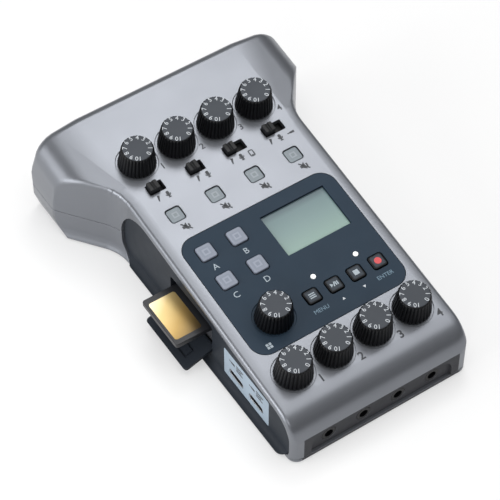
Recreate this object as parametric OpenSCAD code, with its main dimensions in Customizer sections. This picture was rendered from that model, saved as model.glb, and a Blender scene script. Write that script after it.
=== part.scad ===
// Portable podcast recorder: a wedge shaped silver case with wide rear shoulders, dark side panels,
// a dark control panel with screen, pads and keys, nine fluted knobs, slide switches and sockets.
// Millimetres, +Z up, +Y to the rear, origin on the table under the middle of the case.

/* [Case] */
// Length from the front face to the rear socket flanges
body_l = 156; // [152:1:162]
// Width across the rear shoulders
shoulder_w = 112; // [110:1:118]
// Width of the deck between the side rims
body_w = 77.8; // [77:0.2:80]
// Height of the deck plane at the origin
deck_h = 32.2; // [31.6:0.1:34]
// Slope of the deck, rising to the rear
deck_tilt = 6.5; // [6:0.1:7]
// Height of the parting plane between the covers
parting_z = 14.2; // [13.9:0.1:14.3]
// Wall thickness of both covers
wall = 2.2; // [2:0.1:2.5]
// Thickness of the bottom cover's floor
floor_t = 2.8; // [2.8:0.1:3.4]
// Radius of the front edge, deck to front face
nose_r = 13; // [11:0.5:15]
// Half width of the level deck, up to the creases of the shoulders
crease_x = 35.4; // [34.8:0.2:36]
// Slope of the shoulder facets outside the creases
facet_slope = 7.5; // [6.5:0.5:8.5]
// Radius of the shoulders, facet to side
shoulder_r = 11.5; // [10.5:0.5:12.5]
// Draft of the shoulder sides
side_draft = 5; // [4:0.5:6]
// Radius of the rear top edge
rear_r = 4; // [3:0.5:5]
// Length of the shoulders' sides, from the rear face to the slanted neck
shoulder_l = 16.4; // [15.8:0.2:17]
// Angle of the slanted neck to the width
neck_angle = 52.4; // [51.4:0.2:53.4]
// Radius of the neck against the body side
neck_r = 20; // [16:1:22]
// Width of the sloping strip along the deck's rims
strip_w = 4.6; // [4:0.1:5.4]
// Drop of that strip at the rim
strip_drop = 0.8; // [0.6:0.1:1]
// Radius of the rim's lip
lip_r = 2; // [1.8:0.1:2.1]

/* [Side panels] */
// Depth of the rim lip under the deck
rim_d = 3.1; // [2.9:0.1:3.3]
// Thickness of a side panel
panel_t = 2.3; // [2.1:0.1:2.5]
// Inset of the panel behind the rim
panel_inset = 0.4; // [0.2:0.1:0.6]
// How far the panels run past the start of the neck
panel_past = 5.7; // [5:0.1:6.2]
// Outward flare along the panels' lower edge
flare_out = 2.6; // [2:0.1:2.8]
// Radius of that flare
flare_r = 4; // [3.6:0.1:4.2]
// Outward flare of the bottom cover round the neck
neck_flare = 1.5; // [1.2:0.1:1.8]
// Radius of that flare
neck_flare_r = 10; // [8:0.5:12]

/* [Deck layout] */
// Distance between channels at the gain knobs
channel_pitch = 17.5; // [17:0.1:17.6]
// Distance between the phones knobs
phones_pitch = 17.3; // [17:0.1:17.6]
// Gain knob row, along the deck
gain_v = 46.5; // [46.2:0.1:47]
// Input switch row
switch_v = 33.4; // [33:0.1:34]
// Mute key row
mute_v = 19.5; // [18.5:0.1:20.5]
// Phones knob row
phones_v = -58.6; // [-58.8:0.1:-58.2]

/* [Control panel] */
// Width of the dark control panel
plate_w = 67.2; // [66:0.2:68]
// Length of the control panel
plate_l = 56.4; // [56:0.2:57]
// Middle of the control panel, along the deck
plate_v = -20.2; // [-20.4:0.1:-20]
// Corner radius of the control panel
plate_r = 6.5; // [5:0.5:8]
// Thickness of the control panel
plate_t = 1.2; // [1:0.1:1.3]
// Left column of sound pads
pad_x = -25.5; // [-25.8:0.1:-25.2]
// Upper row of sound pads
pad_v = -0.4; // [-0.8:0.1:0]
// Distance between pad columns
pad_pitch_x = 13.4; // [13:0.1:13.8]
// Distance between pad rows
pad_pitch_v = 14; // [13.6:0.1:14.4]
// Side of a sound pad
pad_side = 6.6; // [6.2:0.1:7]
// Middle of the pad volume knob
pad_knob_x = -19.3; // [-19.6:0.1:-19]
// Pad volume knob, along the deck
pad_knob_v = -36.1; // [-36.3:0.1:-35.8]
// Distance from the rim to the last transport key
key_edge = 12.3; // [12.1:0.1:12.6]
// Distance between transport keys
key_pitch = 9.7; // [9.5:0.1:9.8]
// Transport key row
key_v = -36; // [-36.5:0.1:-35.5]
// Side of a transport or mute key
key_side = 5.9; // [5.6:0.1:6.2]
// Middle of the screen across the deck
lcd_x = 13.9; // [13.6:0.1:14.2]
// Middle of the screen along the deck
lcd_v = -7.45; // [-7.7:0.05:-7.2]
// Width of the screen window
lcd_w = 28.2; // [27.6:0.1:28.6]
// Length of the screen window
lcd_l = 19.3; // [19:0.1:19.8]
// First status light
led_x = 2.5; // [2.2:0.1:2.8]
// Distance between status lights
led_pitch = 18.9; // [18.5:0.1:19.3]
// Status light row
led_v = -29.2; // [-29.4:0.1:-29]
// Radius of a status light
led_r = 1; // [0.8:0.05:1.2]

/* [Knobs and keys] */
// Knob radius at the deck
knob_base_r = 7.4; // [7.2:0.05:7.5]
// Knob radius at the top
knob_top_r = 6.3; // [6.1:0.05:6.6]
// Height of the knob tops over the deck
knob_h = 9.6; // [9:0.1:10]
// Grooves around a knob
knob_flutes = 30; // [20:1:32]
// Depth of a groove
flute_d = 0.45; // [0.3:0.05:0.6]
// Radius of a knob spindle
spindle_r = 3; // [2.8:0.05:3.1]
// Depth of the round dish under each knob
dish_d = 0.5; // [0.4:0.05:0.6]
// Travel of a key
key_travel = 0.8; // [0.6:0.05:0.9]
// Height of a sound pad over the deck
pad_proud = 0.7; // [0.4:0.05:0.9]
// Height of a transport key over the deck
key_proud = 0.5; // [0.3:0.05:0.7]
// Length of a slide switch button
slider_l = 4.2; // [4:0.1:4.4]
// Width of a slide switch button
slider_w = 4; // [3.8:0.1:4.2]
// Height of a slide switch button over the deck
slider_h = 2.6; // [2.2:0.1:3]
// Distance between switch positions
switch_step = 2.1; // [1.9:0.05:2.2]

/* [Sockets] */
// Distance between the rear microphone sockets
xlr_pitch = 25.4; // [25.2:0.1:25.6]
// Height of the microphone sockets
xlr_z = 19.8; // [19.4:0.1:20.2]
// Flange radius of a microphone socket
xlr_flange_r = 12; // [11.8:0.05:12.2]
// Flange thickness of a microphone socket
xlr_flange_t = 1.6; // [1.4:0.1:1.8]
// Body radius of a microphone socket
xlr_body_r = 11.2; // [11:0.05:11.3]
// Depth of a microphone socket
xlr_depth = 19; // [17:0.5:20]
// Radius of the headphone jack bores
jack_bore_r = 1.8; // [1.75:0.05:1.85]
// Radius of a jack's barrel
jack_barrel_r = 3; // [2.8:0.05:3.1]
// Distance between the headphone jacks
jack_pitch = 15.2; // [14.8:0.1:15.6]
// Height of the headphone jacks
jack_z = 7.2; // [7.1:0.05:7.4]
// Depth of the scoop around the headphone jacks
scoop_d = 1.2; // [1:0.1:1.3]
// Half length of that scoop
scoop_half = 31; // [30.5:0.1:32]
// Top of the scoop
scoop_top = 12.4; // [12:0.1:13]
// Width of a memory card
card_w = 24; // [23.8:0.1:24.1]
// Thickness of a memory card
card_t = 2.1; // [2:0.05:2.2]
// Length of a memory card
card_l = 32; // [31.6:0.1:32.2]
// Middle of the card slot along the case
card_y = -8.8; // [-9:0.1:-8.6]
// Height of the card's middle plane
card_z = 16.6; // [16.5:0.05:16.7]
// How far the card stands out of the slot
card_out = 13.2; // [12.6:0.1:13.4]
// Middle of the card door along the case
door_y = -10; // [-10.2:0.1:-9.8]
// Length of the card door
door_l = 27.4; // [27.2:0.1:27.8]
// Height of the card door when shut
door_h = 13.6; // [13.4:0.1:13.8]
// Thickness of the card door
door_t = 1.4; // [1.3:0.05:1.5]
// Height of the card door's hinge
hinge_z = 8.3; // [8.2:0.05:8.4]
// Radius of the card door's hinge pins
hinge_r = 0.6; // [0.55:0.05:0.65]
// Slope of the open door below level
door_slope = 20; // [17:0.5:21]
// First USB socket along the case
usb_y = -53.2; // [-53.4:0.1:-53]
// Distance between the USB sockets
usb_pitch = 13; // [12.6:0.1:13.2]
// Middle of the power switch along the case
power_y = -18; // [-22:0.5:-14]
// Travel of the power switch
power_travel = 3; // [2.6:0.1:3.4]
// Middle of the telephone jack along the case
phone_y = -44; // [-48:0.5:-40]

/* [Base] */
// Thickness of the feet below the case
foot_h = 1; // [0.8:0.1:1.2]
// Radius of a foot
foot_r = 4.5; // [4:0.1:4.8]
// Radius of a battery cell
cell_r = 7.1; // [7:0.05:7.25]
// Length of a battery cell
cell_l = 50; // [49:0.5:50.5]
// Front of the battery tray
tray_y = 10; // [9.5:0.1:10.5]
// Travel of the battery cover
cover_travel = 6; // [5:0.5:6]
// Height of the main board over the table
board_z = 11.2; // [11.1:0.05:11.3]
// Thickness of the circuit boards
board_t = 1.6; // [1.5:0.1:1.7]
// Depth of the control board under the deck
board_d = 8.6; // [8.5:0.1:8.8]

/* [Hidden] */
$fn = 48;
// General clearances: between fixed pieces, between moving pieces, radial on a spindle
fit_gap = 0.15;
run_gap = 0.3;
bore_gap = 0.05;
seam = 0.25;
// Larger than anything cut
big = 200;
eps = 0.01;
// Overlap of runs that follow one another, straight or round a bend
lap = 0.05;
miter = 0.4;
// Steps of rounded corners in degrees, and the radius under which a corner is small
fine_step = 7.5;
coarse_step = 22.5;
small_r = 3;

silver = "#b9bcc1";
slate = "#2f3a44";
graphite = "#24272b";
black = "#151618";
clear_grey = "#b3b6b8";
screen_green = "#9db0a8";
board_green = "#1f5a3c";
steel = "#9a9c9e";
gold = "#b59a55";

rear_t = 1.6;
flange_sink = wall - rear_t;
socket_proud = xlr_flange_t - flange_sink;
front_y = -body_l / 2;
rear_y = body_l / 2 - socket_proud;
cheek_y = rear_y - shoulder_l;
half_w = body_w / 2;
panel_out = half_w - panel_inset;
panel_in = panel_out - panel_t;
neck_y = cheek_y - (shoulder_w / 2 - half_w) * tan(neck_angle) - neck_r * tan((90 - neck_angle) / 2);
panel_rear_y = neck_y + panel_past;
floor_z = foot_h + floor_t;
deck_under = wall;
chamfer_in = 2.2;
chamfer_up = 8;
corner_r = 3.4;
rear_corner_r = 1.2;
front_corner_r = 4;
panel_corner_r = 5;
panel_low_r = 9;
panel_high_r = 16;

// Deck plane at a given place along the case, and the rim line below it
function deck_z(y) = deck_h + y * tan(deck_tilt);
function rim_z(y) = deck_z(y) - rim_d / cos(deck_tilt);
// Channel places across the deck, numbered from 0 on the left
function row_x(i, pitch) = (i - 1.5) * pitch;

// Outlines are lists of [x, y, corner radius], counter-clockwise.
function xy(p) = [p[0], p[1]];
function unit(d) = d / norm(d);
function left_of(d) = [-d[1], d[0]];
function before(pts, i) = xy(pts[(i + len(pts) - 1) % len(pts)]);
function after(pts, i) = xy(pts[(i + 1) % len(pts)]);
function mirrored(pts) = [for (i = [len(pts) - 1:-1:0]) [-pts[i][0], pts[i][1], pts[i][2]]];

// Every edge of an outline moved inwards by t, with the corner radii to match
function inset(pts, t) = [for (i = [0:len(pts) - 1])
    let (p = xy(pts[i]), a = unit(p - before(pts, i)), b = unit(after(pts, i) - p))
    let (m = left_of(a), k = left_of(b), q = p + t * (m + k) / (1 + m * k))
    [q[0], q[1], pts[i][2] == 0 ? 0 : max(pts[i][2] - t * sign(cross(a, b)), 0.1)]];

// Points of an outline with its corners rounded by arcs
function rounded(pts) = [for (i = [0:len(pts) - 1])
    let (p = xy(pts[i]), a = unit(p - before(pts, i)), b = unit(after(pts, i) - p), r = pts[i][2])
    each r == 0 ? [p] : corner_arc(p, a, b, r)];
function corner_arc(p, a, b, r) =
    let (turn = atan2(cross(a, b), a * b), s = sign(turn))
    let (c = p - a * r * tan(abs(turn) / 2) + left_of(a) * r * s)
    let (start = atan2(-a[0] * s, a[1] * s), n = ceil(abs(turn) / (r < small_r ? coarse_step : fine_step)))
    [for (k = [0:n]) c + r * [cos(start + turn * k / n), sin(start + turn * k / n)]];
function box_outline(x, y, r) = [[-x, -y, r], [x, -y, r], [x, y, r], [-x, y, r]];

// Plan of the case; h is the half width of the narrow part
function plan_right(h) = [
    [h, front_y - eps, front_corner_r],
    [h, cheek_y - (shoulder_w / 2 - h) * tan(neck_angle), neck_r],
    [shoulder_w / 2, cheek_y, corner_r],
    [shoulder_w / 2, rear_y, rear_corner_r]];
function plan(h) = concat(plan_right(h), mirrored(plan_right(h)));
// Cross section of the case, square to the deck: level deck, facet, roll, drafted side
draft_d = 22.3;
draft_r = 40;
facet_end = (shoulder_w / 2 - tan(side_draft) * (draft_d + crease_x * tan(facet_slope)))
    / (1 - tan(facet_slope) * tan(side_draft));
function facet_w(x) = -(x - crease_x) * tan(facet_slope);
function section_right() = let (x = shoulder_w / 2)
    [[x, -big, 0], [x, -draft_d, draft_r], [facet_end, facet_w(facet_end), shoulder_r], [crease_x, 0, 0]];
function section() = concat(section_right(), mirrored(section_right()));
// Side view of the case: y, z
function profile() = [[front_y, -big, 0], [rear_y, -big, 0],
    [rear_y, deck_z(rear_y), rear_r], [front_y, deck_z(front_y), nose_r]];
// Side view of a dark side panel, down to the height low, with its edges moved in by t
function panel_side(low, t) = let (y = front_y + rim_d) inset([
    [y, low, panel_corner_r], [panel_rear_y, low, panel_low_r],
    [panel_rear_y, rim_z(panel_rear_y), panel_high_r], [y, rim_z(y), nose_r - rim_d]], t);

module on_deck() translate([0, 0, deck_h]) rotate([deck_tilt, 0, 0]) children();
module at_deck(x, v) on_deck() translate([x, v, 0]) children();
// An outline drawn as y, z and extruded along x, from x0 to x1
module along_x(x0, x1) translate([x0, 0, 0]) rotate([90, 0, 90]) linear_extrude(x1 - x0) children();
// An outline drawn as x, z and extruded along y, from y0 to y1
module along_y(y0, y1) translate([0, y1, 0]) rotate([90, 0, 0]) linear_extrude(y1 - y0) children();
module slab(z0, z1) translate([0, 0, z0]) linear_extrude(z1 - z0) children();
module mirror_x() { children(); mirror([1, 0, 0]) children(); }
module shape(pts) polygon(rounded(pts));
module square_of(side, r) shape(box_outline(side / 2, side / 2, r));

// The case as one solid: plan, cross section and side view cut from one another
module case_form(t, h) intersection() {
    slab(0, 2 * deck_h) shape(inset(plan(h), t));
    on_deck() along_y(-big, big) shape(inset(section(), t));
    along_x(-big, big) shape(inset(profile(), t));
}
// The covers part level, and low behind the front wall, which belongs to the top cover
sill_y = front_y + 12;
sill_z = foot_h + 1.2;
module above_parting() along_x(-big, big) polygon([[-big, sill_z + seam], [sill_y - seam, sill_z + seam],
    [sill_y - seam, parting_z + seam], [big, parting_z + seam], [big, big], [-big, big]]);
module below_parting() along_x(-big, big) polygon([[-big, -big], [big, -big], [big, parting_z],
    [sill_y, parting_z], [sill_y, sill_z], [-big, sill_z]]);

// Sloping strip along the right rim: along the deck, round the nose, down the front, round the neck
strip_end_v = neck_y / cos(deck_tilt);
nose_y = front_y + nose_r;
nose_z = deck_z(nose_y) - nose_r / cos(deck_tilt);
nose_v = nose_y * cos(deck_tilt) + (nose_z - deck_h) * sin(deck_tilt);
strip_slope = atan(strip_drop / strip_w);
strip_over = 1;
// The lip's arc ends a little short of upright and runs on through the side
lip_end = 12;
lip_steps = 4;
lip_past = 0.25;
lip_mid = [-lip_r, -(strip_w - lip_r) * tan(strip_slope) - lip_r / cos(strip_slope)];
function lip_point(a) = lip_mid + lip_r * [cos(a), sin(a)];
lip_low = lip_point(lip_end)[1] - (lip_past - lip_point(lip_end)[0]) / tan(lip_end);
module strip_edge() polygon(concat([[-strip_w - strip_over, strip_over * tan(strip_slope)]],
    [for (k = [0:lip_steps]) lip_point(90 - strip_slope - (90 - strip_slope - lip_end) * k / lip_steps)],
    [[lip_past, lip_low], [strip_over, lip_low], [strip_over, strip_over],
        [-strip_w - strip_over, strip_over]]));
// An edge profile, x outward and z, run round the neck from the place y0 and on along the slant for l,
// sinking there by the angle pitch
neck_steps = ceil((90 - neck_angle) / fine_step);
neck_step = (90 - neck_angle) / neck_steps;
module round_neck(y0, l, pitch) translate([half_w + neck_r, y0, 0]) {
    half_chord = neck_r * sin(neck_step / 2) + miter;
    for (k = [0:neck_steps - 1]) rotate([0, 0, -(k + 0.5) * neck_step])
        translate([-neck_r * cos(neck_step / 2) - (k % 2) * eps, 0, -(k % 2) * eps])
            along_y(-half_chord, half_chord) children();
    rotate([0, 0, neck_angle - 90]) translate([-neck_r, 0, 0])
        rotate([-pitch, 0, 0]) along_y(-miter, l) children();
}
// The same profile run down the nose, facet by facet
nose_steps = ceil((90 - deck_tilt) / fine_step);
nose_step = (90 - deck_tilt) / nose_steps;
module round_nose() translate([half_w, nose_y, nose_z]) {
    half_chord = nose_r * sin(nose_step / 2) + miter;
    for (k = [0:nose_steps - 1]) rotate([deck_tilt + (k + 0.5) * nose_step, 0, 0])
        translate([0, 0, nose_r * cos(nose_step / 2)]) along_y(-half_chord, half_chord) children();
}
module strip_cut() {
    on_deck() translate([half_w, 0, 0]) along_y(nose_v - miter, strip_end_v + miter) strip_edge();
    on_deck() round_neck(strip_end_v, shoulder_w / 4, atan(tan(facet_slope) * cos(neck_angle))) strip_edge();
    round_nose() strip_edge();
    translate([half_w, front_y, 0]) rotate([90, 0, 0]) along_y(0, nose_z + miter) strip_edge();
}

// Rounding of the rear edge, carried along the right shoulder's facet and roll by prisms tangent to them
roll_turn = 90 - facet_slope - side_draft;
roll_tangent = shoulder_r * tan(roll_turn / 2);
roll_mid = [facet_end, facet_w(facet_end)] - roll_tangent * [-sin(side_draft), cos(side_draft)]
    - shoulder_r * [cos(side_draft), sin(side_draft)];
edge_steps = 6;
edge_end = 10;
edge_run = (lip_past + rear_r * (1 - cos(edge_end))) / sin(edge_end);
// Profile y, z of that rounding, where the surface rises to the rear by the angle b
module rear_edge(b) {
    top = 90 + b - edge_end;
    mid = [-rear_r, -rear_r / tan((90 - b) / 2)];
    first = mid + rear_r * [cos(edge_end), sin(edge_end)] + edge_run * [sin(edge_end), -cos(edge_end)];
    last = mid + rear_r * [cos(top), sin(top)] + edge_run * [-sin(top), cos(top)];
    polygon(concat([first], [for (k = [0:edge_steps]) let (a = edge_end + (top - edge_end) * k / edge_steps)
            mid + rear_r * [cos(a), sin(a)]],
        [last, [last[0], rear_r], [rear_r, rear_r], [rear_r, first[1]]]));
}
module rear_cut() for (k = [0:edge_steps - 1]) {
    tilt = facet_slope + roll_turn * k / edge_steps;
    at = roll_mid + shoulder_r * [sin(tilt), cos(tilt)];
    translate([at[0], rear_y, deck_z(rear_y) + at[1] / cos(deck_tilt)])
        rotate([0, atan2(sin(tilt), cos(tilt) * cos(deck_tilt)), 0])
            along_x(crease_x - facet_end, facet_end - crease_x) rear_edge(asin(cos(tilt) * sin(deck_tilt)));
}

// The solid case with the strips and rear edges cut on both sides
module edge_cut() {
    strip_cut();
    rear_cut();
}
module stripped_form() difference() {
    difference() {
        case_form(0, half_w);
        edge_cut();
    }
    mirror([1, 0, 0]) edge_cut();
}

// Openings through the deck
key_hole = key_side + 2 * run_gap;
pad_hole = pad_side + 2 * run_gap;
key_x = half_w - key_edge - 3 * key_pitch;
corner_key = 1.3;
slot_corner = 0.4;
lcd_ledge = 1;
dish_gap = 0.8;
spindle_gap = 0.5;
dish_r = knob_base_r + dish_gap;
spindle_hole_r = spindle_r + spindle_gap;
slot_w = slider_w + 2 * run_gap;
// Inputs 1 and 2 have two positions, 3 and 4 have three
function switch_travel(i) = (i < 2 ? 1 : 2) * switch_step;
function slot_l(i) = slider_l + switch_travel(i) + 2 * run_gap;
function pad_at(i) = [pad_x + (i % 2) * pad_pitch_x, pad_v - floor(i / 2) * pad_pitch_v];
knob_places = concat([for (i = [0:3]) [row_x(i, channel_pitch), gain_v]],
    [for (i = [0:3]) [row_x(i, phones_pitch), phones_v]], [[pad_knob_x, pad_knob_v]]);

module deck_slab(z0, z1, place) on_deck() translate([place[0], place[1], 0]) slab(z0, z1) children();
module key_openings(z0, z1) {
    for (i = [0:3]) {
        deck_slab(z0, z1, pad_at(i)) square_of(pad_hole, corner_key);
        deck_slab(z0, z1, [key_x + i * key_pitch, key_v]) square_of(key_hole, corner_key);
    }
    for (i = [0:1])
        deck_slab(z0, z1, [led_x + i * led_pitch, led_v]) circle(led_r + fit_gap);
    deck_slab(z0, z1, [pad_knob_x, pad_knob_v]) circle(spindle_hole_r);
}
module deck_openings() {
    for (p = knob_places) {
        deck_slab(-dish_d, 1, p) circle(dish_r);
        deck_slab(-wall - 1, 1, p) circle(spindle_hole_r);
    }
    for (i = [0:3]) {
        deck_slab(-wall - 1, 1, [row_x(i, channel_pitch), mute_v]) square_of(key_hole, corner_key);
        deck_slab(-wall - 1, 1, [row_x(i, channel_pitch), switch_v])
            shape(box_outline(slot_l(i) / 2, slot_w / 2, slot_corner));
    }
    deck_slab(-plate_t, 1, [0, plate_v])
        shape(box_outline(plate_w / 2 + fit_gap, plate_l / 2 + fit_gap, plate_r + fit_gap));
    key_openings(-wall - 1, 1);
    deck_slab(-wall - 1, 1, [lcd_x, lcd_v])
        square([lcd_w - 2 * lcd_ledge, lcd_l - 2 * lcd_ledge], center = true);
}

// Rear opening, one radius clear of the socket flanges
rear_open_gap = 1.4;
rear_open_r = xlr_flange_r + rear_open_gap;
rear_open_half = 1.5 * xlr_pitch;
module rear_outline(r) {
    translate([-rear_open_half, xlr_z]) circle(r);
    translate([rear_open_half, xlr_z]) circle(r);
    translate([0, xlr_z]) square([2 * rear_open_half, 2 * r], center = true);
}
scoop_r = 6;
module scoop_cut() along_y(front_y - 1, front_y + scoop_d)
    shape([[-scoop_half, -big, 0], [scoop_half, -big, 0],
        [scoop_half, scoop_top, scoop_r], [-scoop_half, scoop_top, scoop_r]]);
module jack_axes() for (i = [0:3])
    translate([row_x(i, jack_pitch), front_y, jack_z]) rotate([-90, 0, 0]) children();

// Openings in the side walls: card slot, USB sockets on the left, power switch and phone jack on the right
card_gap = 0.2;
slot_half = card_w / 2 + 1.5;
slot_rise = card_t / 2 + 1.2;
side_corner = 0.6;
usb_w = 9;
usb_h = 3.2;
usb_z = board_z - usb_h / 2;
phone_z = board_z - jack_barrel_r - fit_gap;
power_z = board_z + board_t + 3.6;
power_len = 4.6;
power_rise = 1.5;
module side_cut(y, z, half_y, half_z, r) along_x(-half_w - 1, -panel_in + wall + 1)
    translate([y, z]) shape(box_outline(half_y, half_z, r));
module usb_cuts() for (i = [0:1])
    side_cut(usb_y + i * usb_pitch, usb_z, usb_w / 2 + fit_gap, usb_h / 2 + fit_gap, usb_h / 2 - eps);
module phone_cut() translate([panel_in - wall - 1, phone_y, phone_z]) rotate([0, 90, 0])
    cylinder(h = panel_t + wall + 3, r = jack_barrel_r + fit_gap);
module power_cut() mirror([1, 0, 0])
    side_cut(power_y, power_z, (power_len + power_travel) / 2 + run_gap, power_rise + run_gap, side_corner);

// Room for the microphone sockets' bodies
module socket_room() for (i = [0:3]) translate([row_x(i, xlr_pitch), rear_y, xlr_z]) rotate([90, 0, 0])
    cylinder(h = flange_sink + xlr_depth + fit_gap, r = xlr_body_r + fit_gap);

// Screw columns, shared by both covers and the boards
post_r = 2.6;
deck_post_r = 2.2;
post_x = half_w - 8.5;
case_post = [for (s = [-1, 1]) [s * (half_w - 2.9), cheek_y - 12.6]];
deck_post = [for (v = [switch_v + 5.65, mute_v - 9.7, phones_v + 8.2], s = [-1, 1]) [s * post_x, v]];
main_post = [for (p = [[half_w - 18.9, -46], [half_w - 8.9, -4]], s = [-1, 1]) [s * p[0], p[1]]];
screw_r = 1.2;
head_r = 2.4;
head_h = 1.4;
head_sink = 0.2;
case_screw_l = 20;
screw_seat = foot_h + head_sink + head_h;
screw_short = 0.2;
board_screw_l = board_z + board_t - screw_seat - screw_short;
deck_screw_l = 5;
module posts(places, z0, z1, r) for (p = places) translate([p[0], p[1], z0]) cylinder(h = z1 - z0, r = r);
module screw(l) {
    cylinder(h = head_h, r = head_r);
    translate([0, 0, head_h - eps]) cylinder(h = l, r = screw_r);
}

module side_openings() {
    side_cut(card_y, card_z, slot_half, slot_rise, side_corner);
    usb_cuts();
    phone_cut();
    power_cut();
}
module side_recess() mirror_x() along_x(panel_in, big) shape(panel_side(foot_h - lap, 0));

module top_cover() color(silver) difference() {
    union() {
        difference() {
            intersection() { stripped_form(); above_parting(); }
            case_form(wall, panel_in);
        }
        on_deck() posts(deck_post, -board_d, -deck_under + eps, deck_post_r);
        intersection() {
            posts(case_post, floor_z, deck_z(rear_y), post_r);
            case_form(wall / 2, half_w);
            above_parting();
        }
    }
    side_recess();
    deck_openings();
    scoop_cut();
    jack_axes() translate([0, 0, -1]) cylinder(h = wall + 2, r = jack_barrel_r + fit_gap);
    along_y(rear_y - wall - 1, rear_y + 1) rear_outline(rear_open_r);
    socket_room();
    side_openings();
    on_deck() posts(deck_post, -board_d - 1, -board_d + deck_screw_l, screw_r + fit_gap);
    posts(case_post, 0, screw_seat + case_screw_l + 1, screw_r + fit_gap);
}

// Flared foot of the sides: outward x, height z, hollow curve of radius r reaching out by d
flare_lip = 0.4;
flare_root = 1.1;
flare_steps = 6;
module flare_edge(r, d) {
    turn = acos(1 - d / r);
    top = foot_h + flare_lip + r * sin(turn);
    polygon(concat([for (k = [0:flare_steps]) let (a = turn * k / flare_steps)
            [r * (1 - cos(a)) - lap, top - r * sin(a)]],
        [[d - lap, 0], [-flare_root, 0], [-flare_root, top]]));
}
module neck_edge() flare_edge(neck_flare_r, neck_flare + lap);
module neck_foot() intersection() {
    union() {
        translate([half_w, 0, 0]) along_y(panel_rear_y - 2 * panel_low_r, neck_y + miter) neck_edge();
        round_neck(neck_y, shoulder_w / 2, 0) neck_edge();
    }
    translate([0, -big, -1]) cube([shoulder_w / 2, big + cheek_y + corner_r, parting_z]);
}
// The solid lower case with both feet
module footed_form() intersection() {
    union() {
        union() {
            intersection() { case_form(0, half_w); below_parting(); }
            neck_foot();
        }
        mirror([1, 0, 0]) neck_foot();
    }
    chamfered_base(0, foot_h);
}
// Bottom cover: the tray under the parting plane, with its battery opening
tray_wall = 1.2;
tray_in_x = cell_l / 2 + 1.6;
tray_in_y = 4 * cell_r + 1;
tray_top = floor_z + 2 * cell_r + 0.6;
lid_t = 1.4;
lid_tongue = 1;
lid_step = 0.6;
lid_x = tray_in_x + 3;
lid_y0 = tray_y - 1.5;
lid_y1 = tray_y + tray_in_y + 3.5;
lid_split = foot_h + lid_step;
foot_sink = 0.6;
foot_in = 11;
foot_front = 8.6;
feet = [for (p = [[post_x, front_y + foot_front], [shoulder_w / 2 - foot_in, rear_y - foot_in]], s = [1, -1])
    [s * p[0], p[1]]];
module chamfered_base(t, z) let (x = shoulder_w / 2 - t) along_y(-big, big)
    polygon([[-x + chamfer_in, z], [x - chamfer_in, z], [x + eps, z + chamfer_up], [x + eps, big],
        [-x - eps, big], [-x - eps, z + chamfer_up]]);
// Room for the battery cover and its travel, x to each side, from z0 to z1
module lid_way(x, z0, z1) translate([-x - run_gap, lid_y0 - cover_travel - run_gap, z0])
    cube([2 * (x + run_gap), lid_y1 - lid_y0 + cover_travel + 2 * run_gap, z1 - z0]);
module bottom_cover() color(silver) difference() {
    union() {
        difference() {
            footed_form();
            intersection() { case_form(wall, panel_in); chamfered_base(wall, floor_z); }
        }
        posts(main_post, floor_z - eps, board_z, post_r);
        intersection() { posts(case_post, floor_z - eps, deck_z(0), post_r); below_parting(); }
    }
    side_recess();
    along_y(rear_y - wall - 1, rear_y + 1) rear_outline(rear_open_r);
    socket_room();
    translate([-tray_in_x, tray_y + tray_wall, 0]) cube([2 * tray_in_x, tray_in_y, floor_z + 1]);
    lid_way(lid_x - lid_tongue, 0, foot_h + lid_t + fit_gap);
    lid_way(lid_x, lid_split - fit_gap, foot_h + lid_t + fit_gap);
    side_openings();
    posts(feet, 0, foot_h + foot_sink, foot_r + fit_gap);
    posts(concat(main_post, case_post), 0, screw_seat, head_r + fit_gap);
    posts(concat(main_post, case_post), 0, big, screw_r + fit_gap);
}

// Dark side panel with its flared foot, drawn on the right
panel_front_y = front_y + rim_d + fit_gap;
flare_front_r = 6;
module flare() intersection() {
    translate([panel_out, 0, 0]) along_y(front_y, panel_rear_y) flare_edge(flare_r, flare_out);
    along_x(0, big) shape(panel_side(foot_h, fit_gap));
    slab(0, big) shape([[0, panel_front_y, 0], [panel_out + flare_out, panel_front_y, flare_front_r],
        [panel_out + flare_out, panel_rear_y, 0], [0, panel_rear_y, 0]]);
}
module panel_blank() {
    along_x(panel_in, panel_out) shape(panel_side(foot_h, fit_gap));
    flare();
}
hinge_x = -panel_in - panel_t / 2;
door_gap = 0.4;
usb_plate_y = usb_y + usb_pitch / 2;
usb_plate_l = 29.2;
usb_plate_h = 15.1;
usb_plate_low = 3.9;
usb_plate_z = foot_h + usb_plate_low + usb_plate_h / 2;
usb_plate_t = 0.5;
plate_corner = 0.8;
door_corner = 1.4;
module door_window() let (half = door_l / 2 + door_gap, rise = door_h + door_t + 2 * door_gap)
    along_x(-panel_out - 1, -panel_in + 1) translate([door_y, hinge_z - door_t / 2 - door_gap - run_gap])
        shape([[-half, 0, side_corner], [half, 0, side_corner],
            [half, rise, door_corner + card_gap], [-half, rise, door_corner + card_gap]]);
pin_l = 1.2;
module hinge_axis(y) translate([hinge_x, y, hinge_z]) rotate([-90, 0, 0]) children();
module side_panel_left() color(graphite) difference() {
    mirror([1, 0, 0]) panel_blank();
    door_window();
    hinge_axis(door_y - door_l / 2 - pin_l - door_gap)
        cylinder(h = door_l + 2 * (pin_l + door_gap), r = hinge_r + bore_gap);
    along_x(-big, -panel_out + usb_plate_t) translate([usb_plate_y, usb_plate_z])
        shape(box_outline(usb_plate_l / 2 + fit_gap, usb_plate_h / 2 + fit_gap, plate_corner));
    usb_cuts();
}
module side_panel_right() color(graphite) difference() {
    panel_blank();
    phone_cut();
    power_cut();
}
module usb_plate() color(clear_grey) difference() {
    along_x(-panel_out, -panel_out + usb_plate_t) translate([usb_plate_y, usb_plate_z])
        shape(box_outline(usb_plate_l / 2, usb_plate_h / 2, plate_corner));
    usb_cuts();
}

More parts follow.
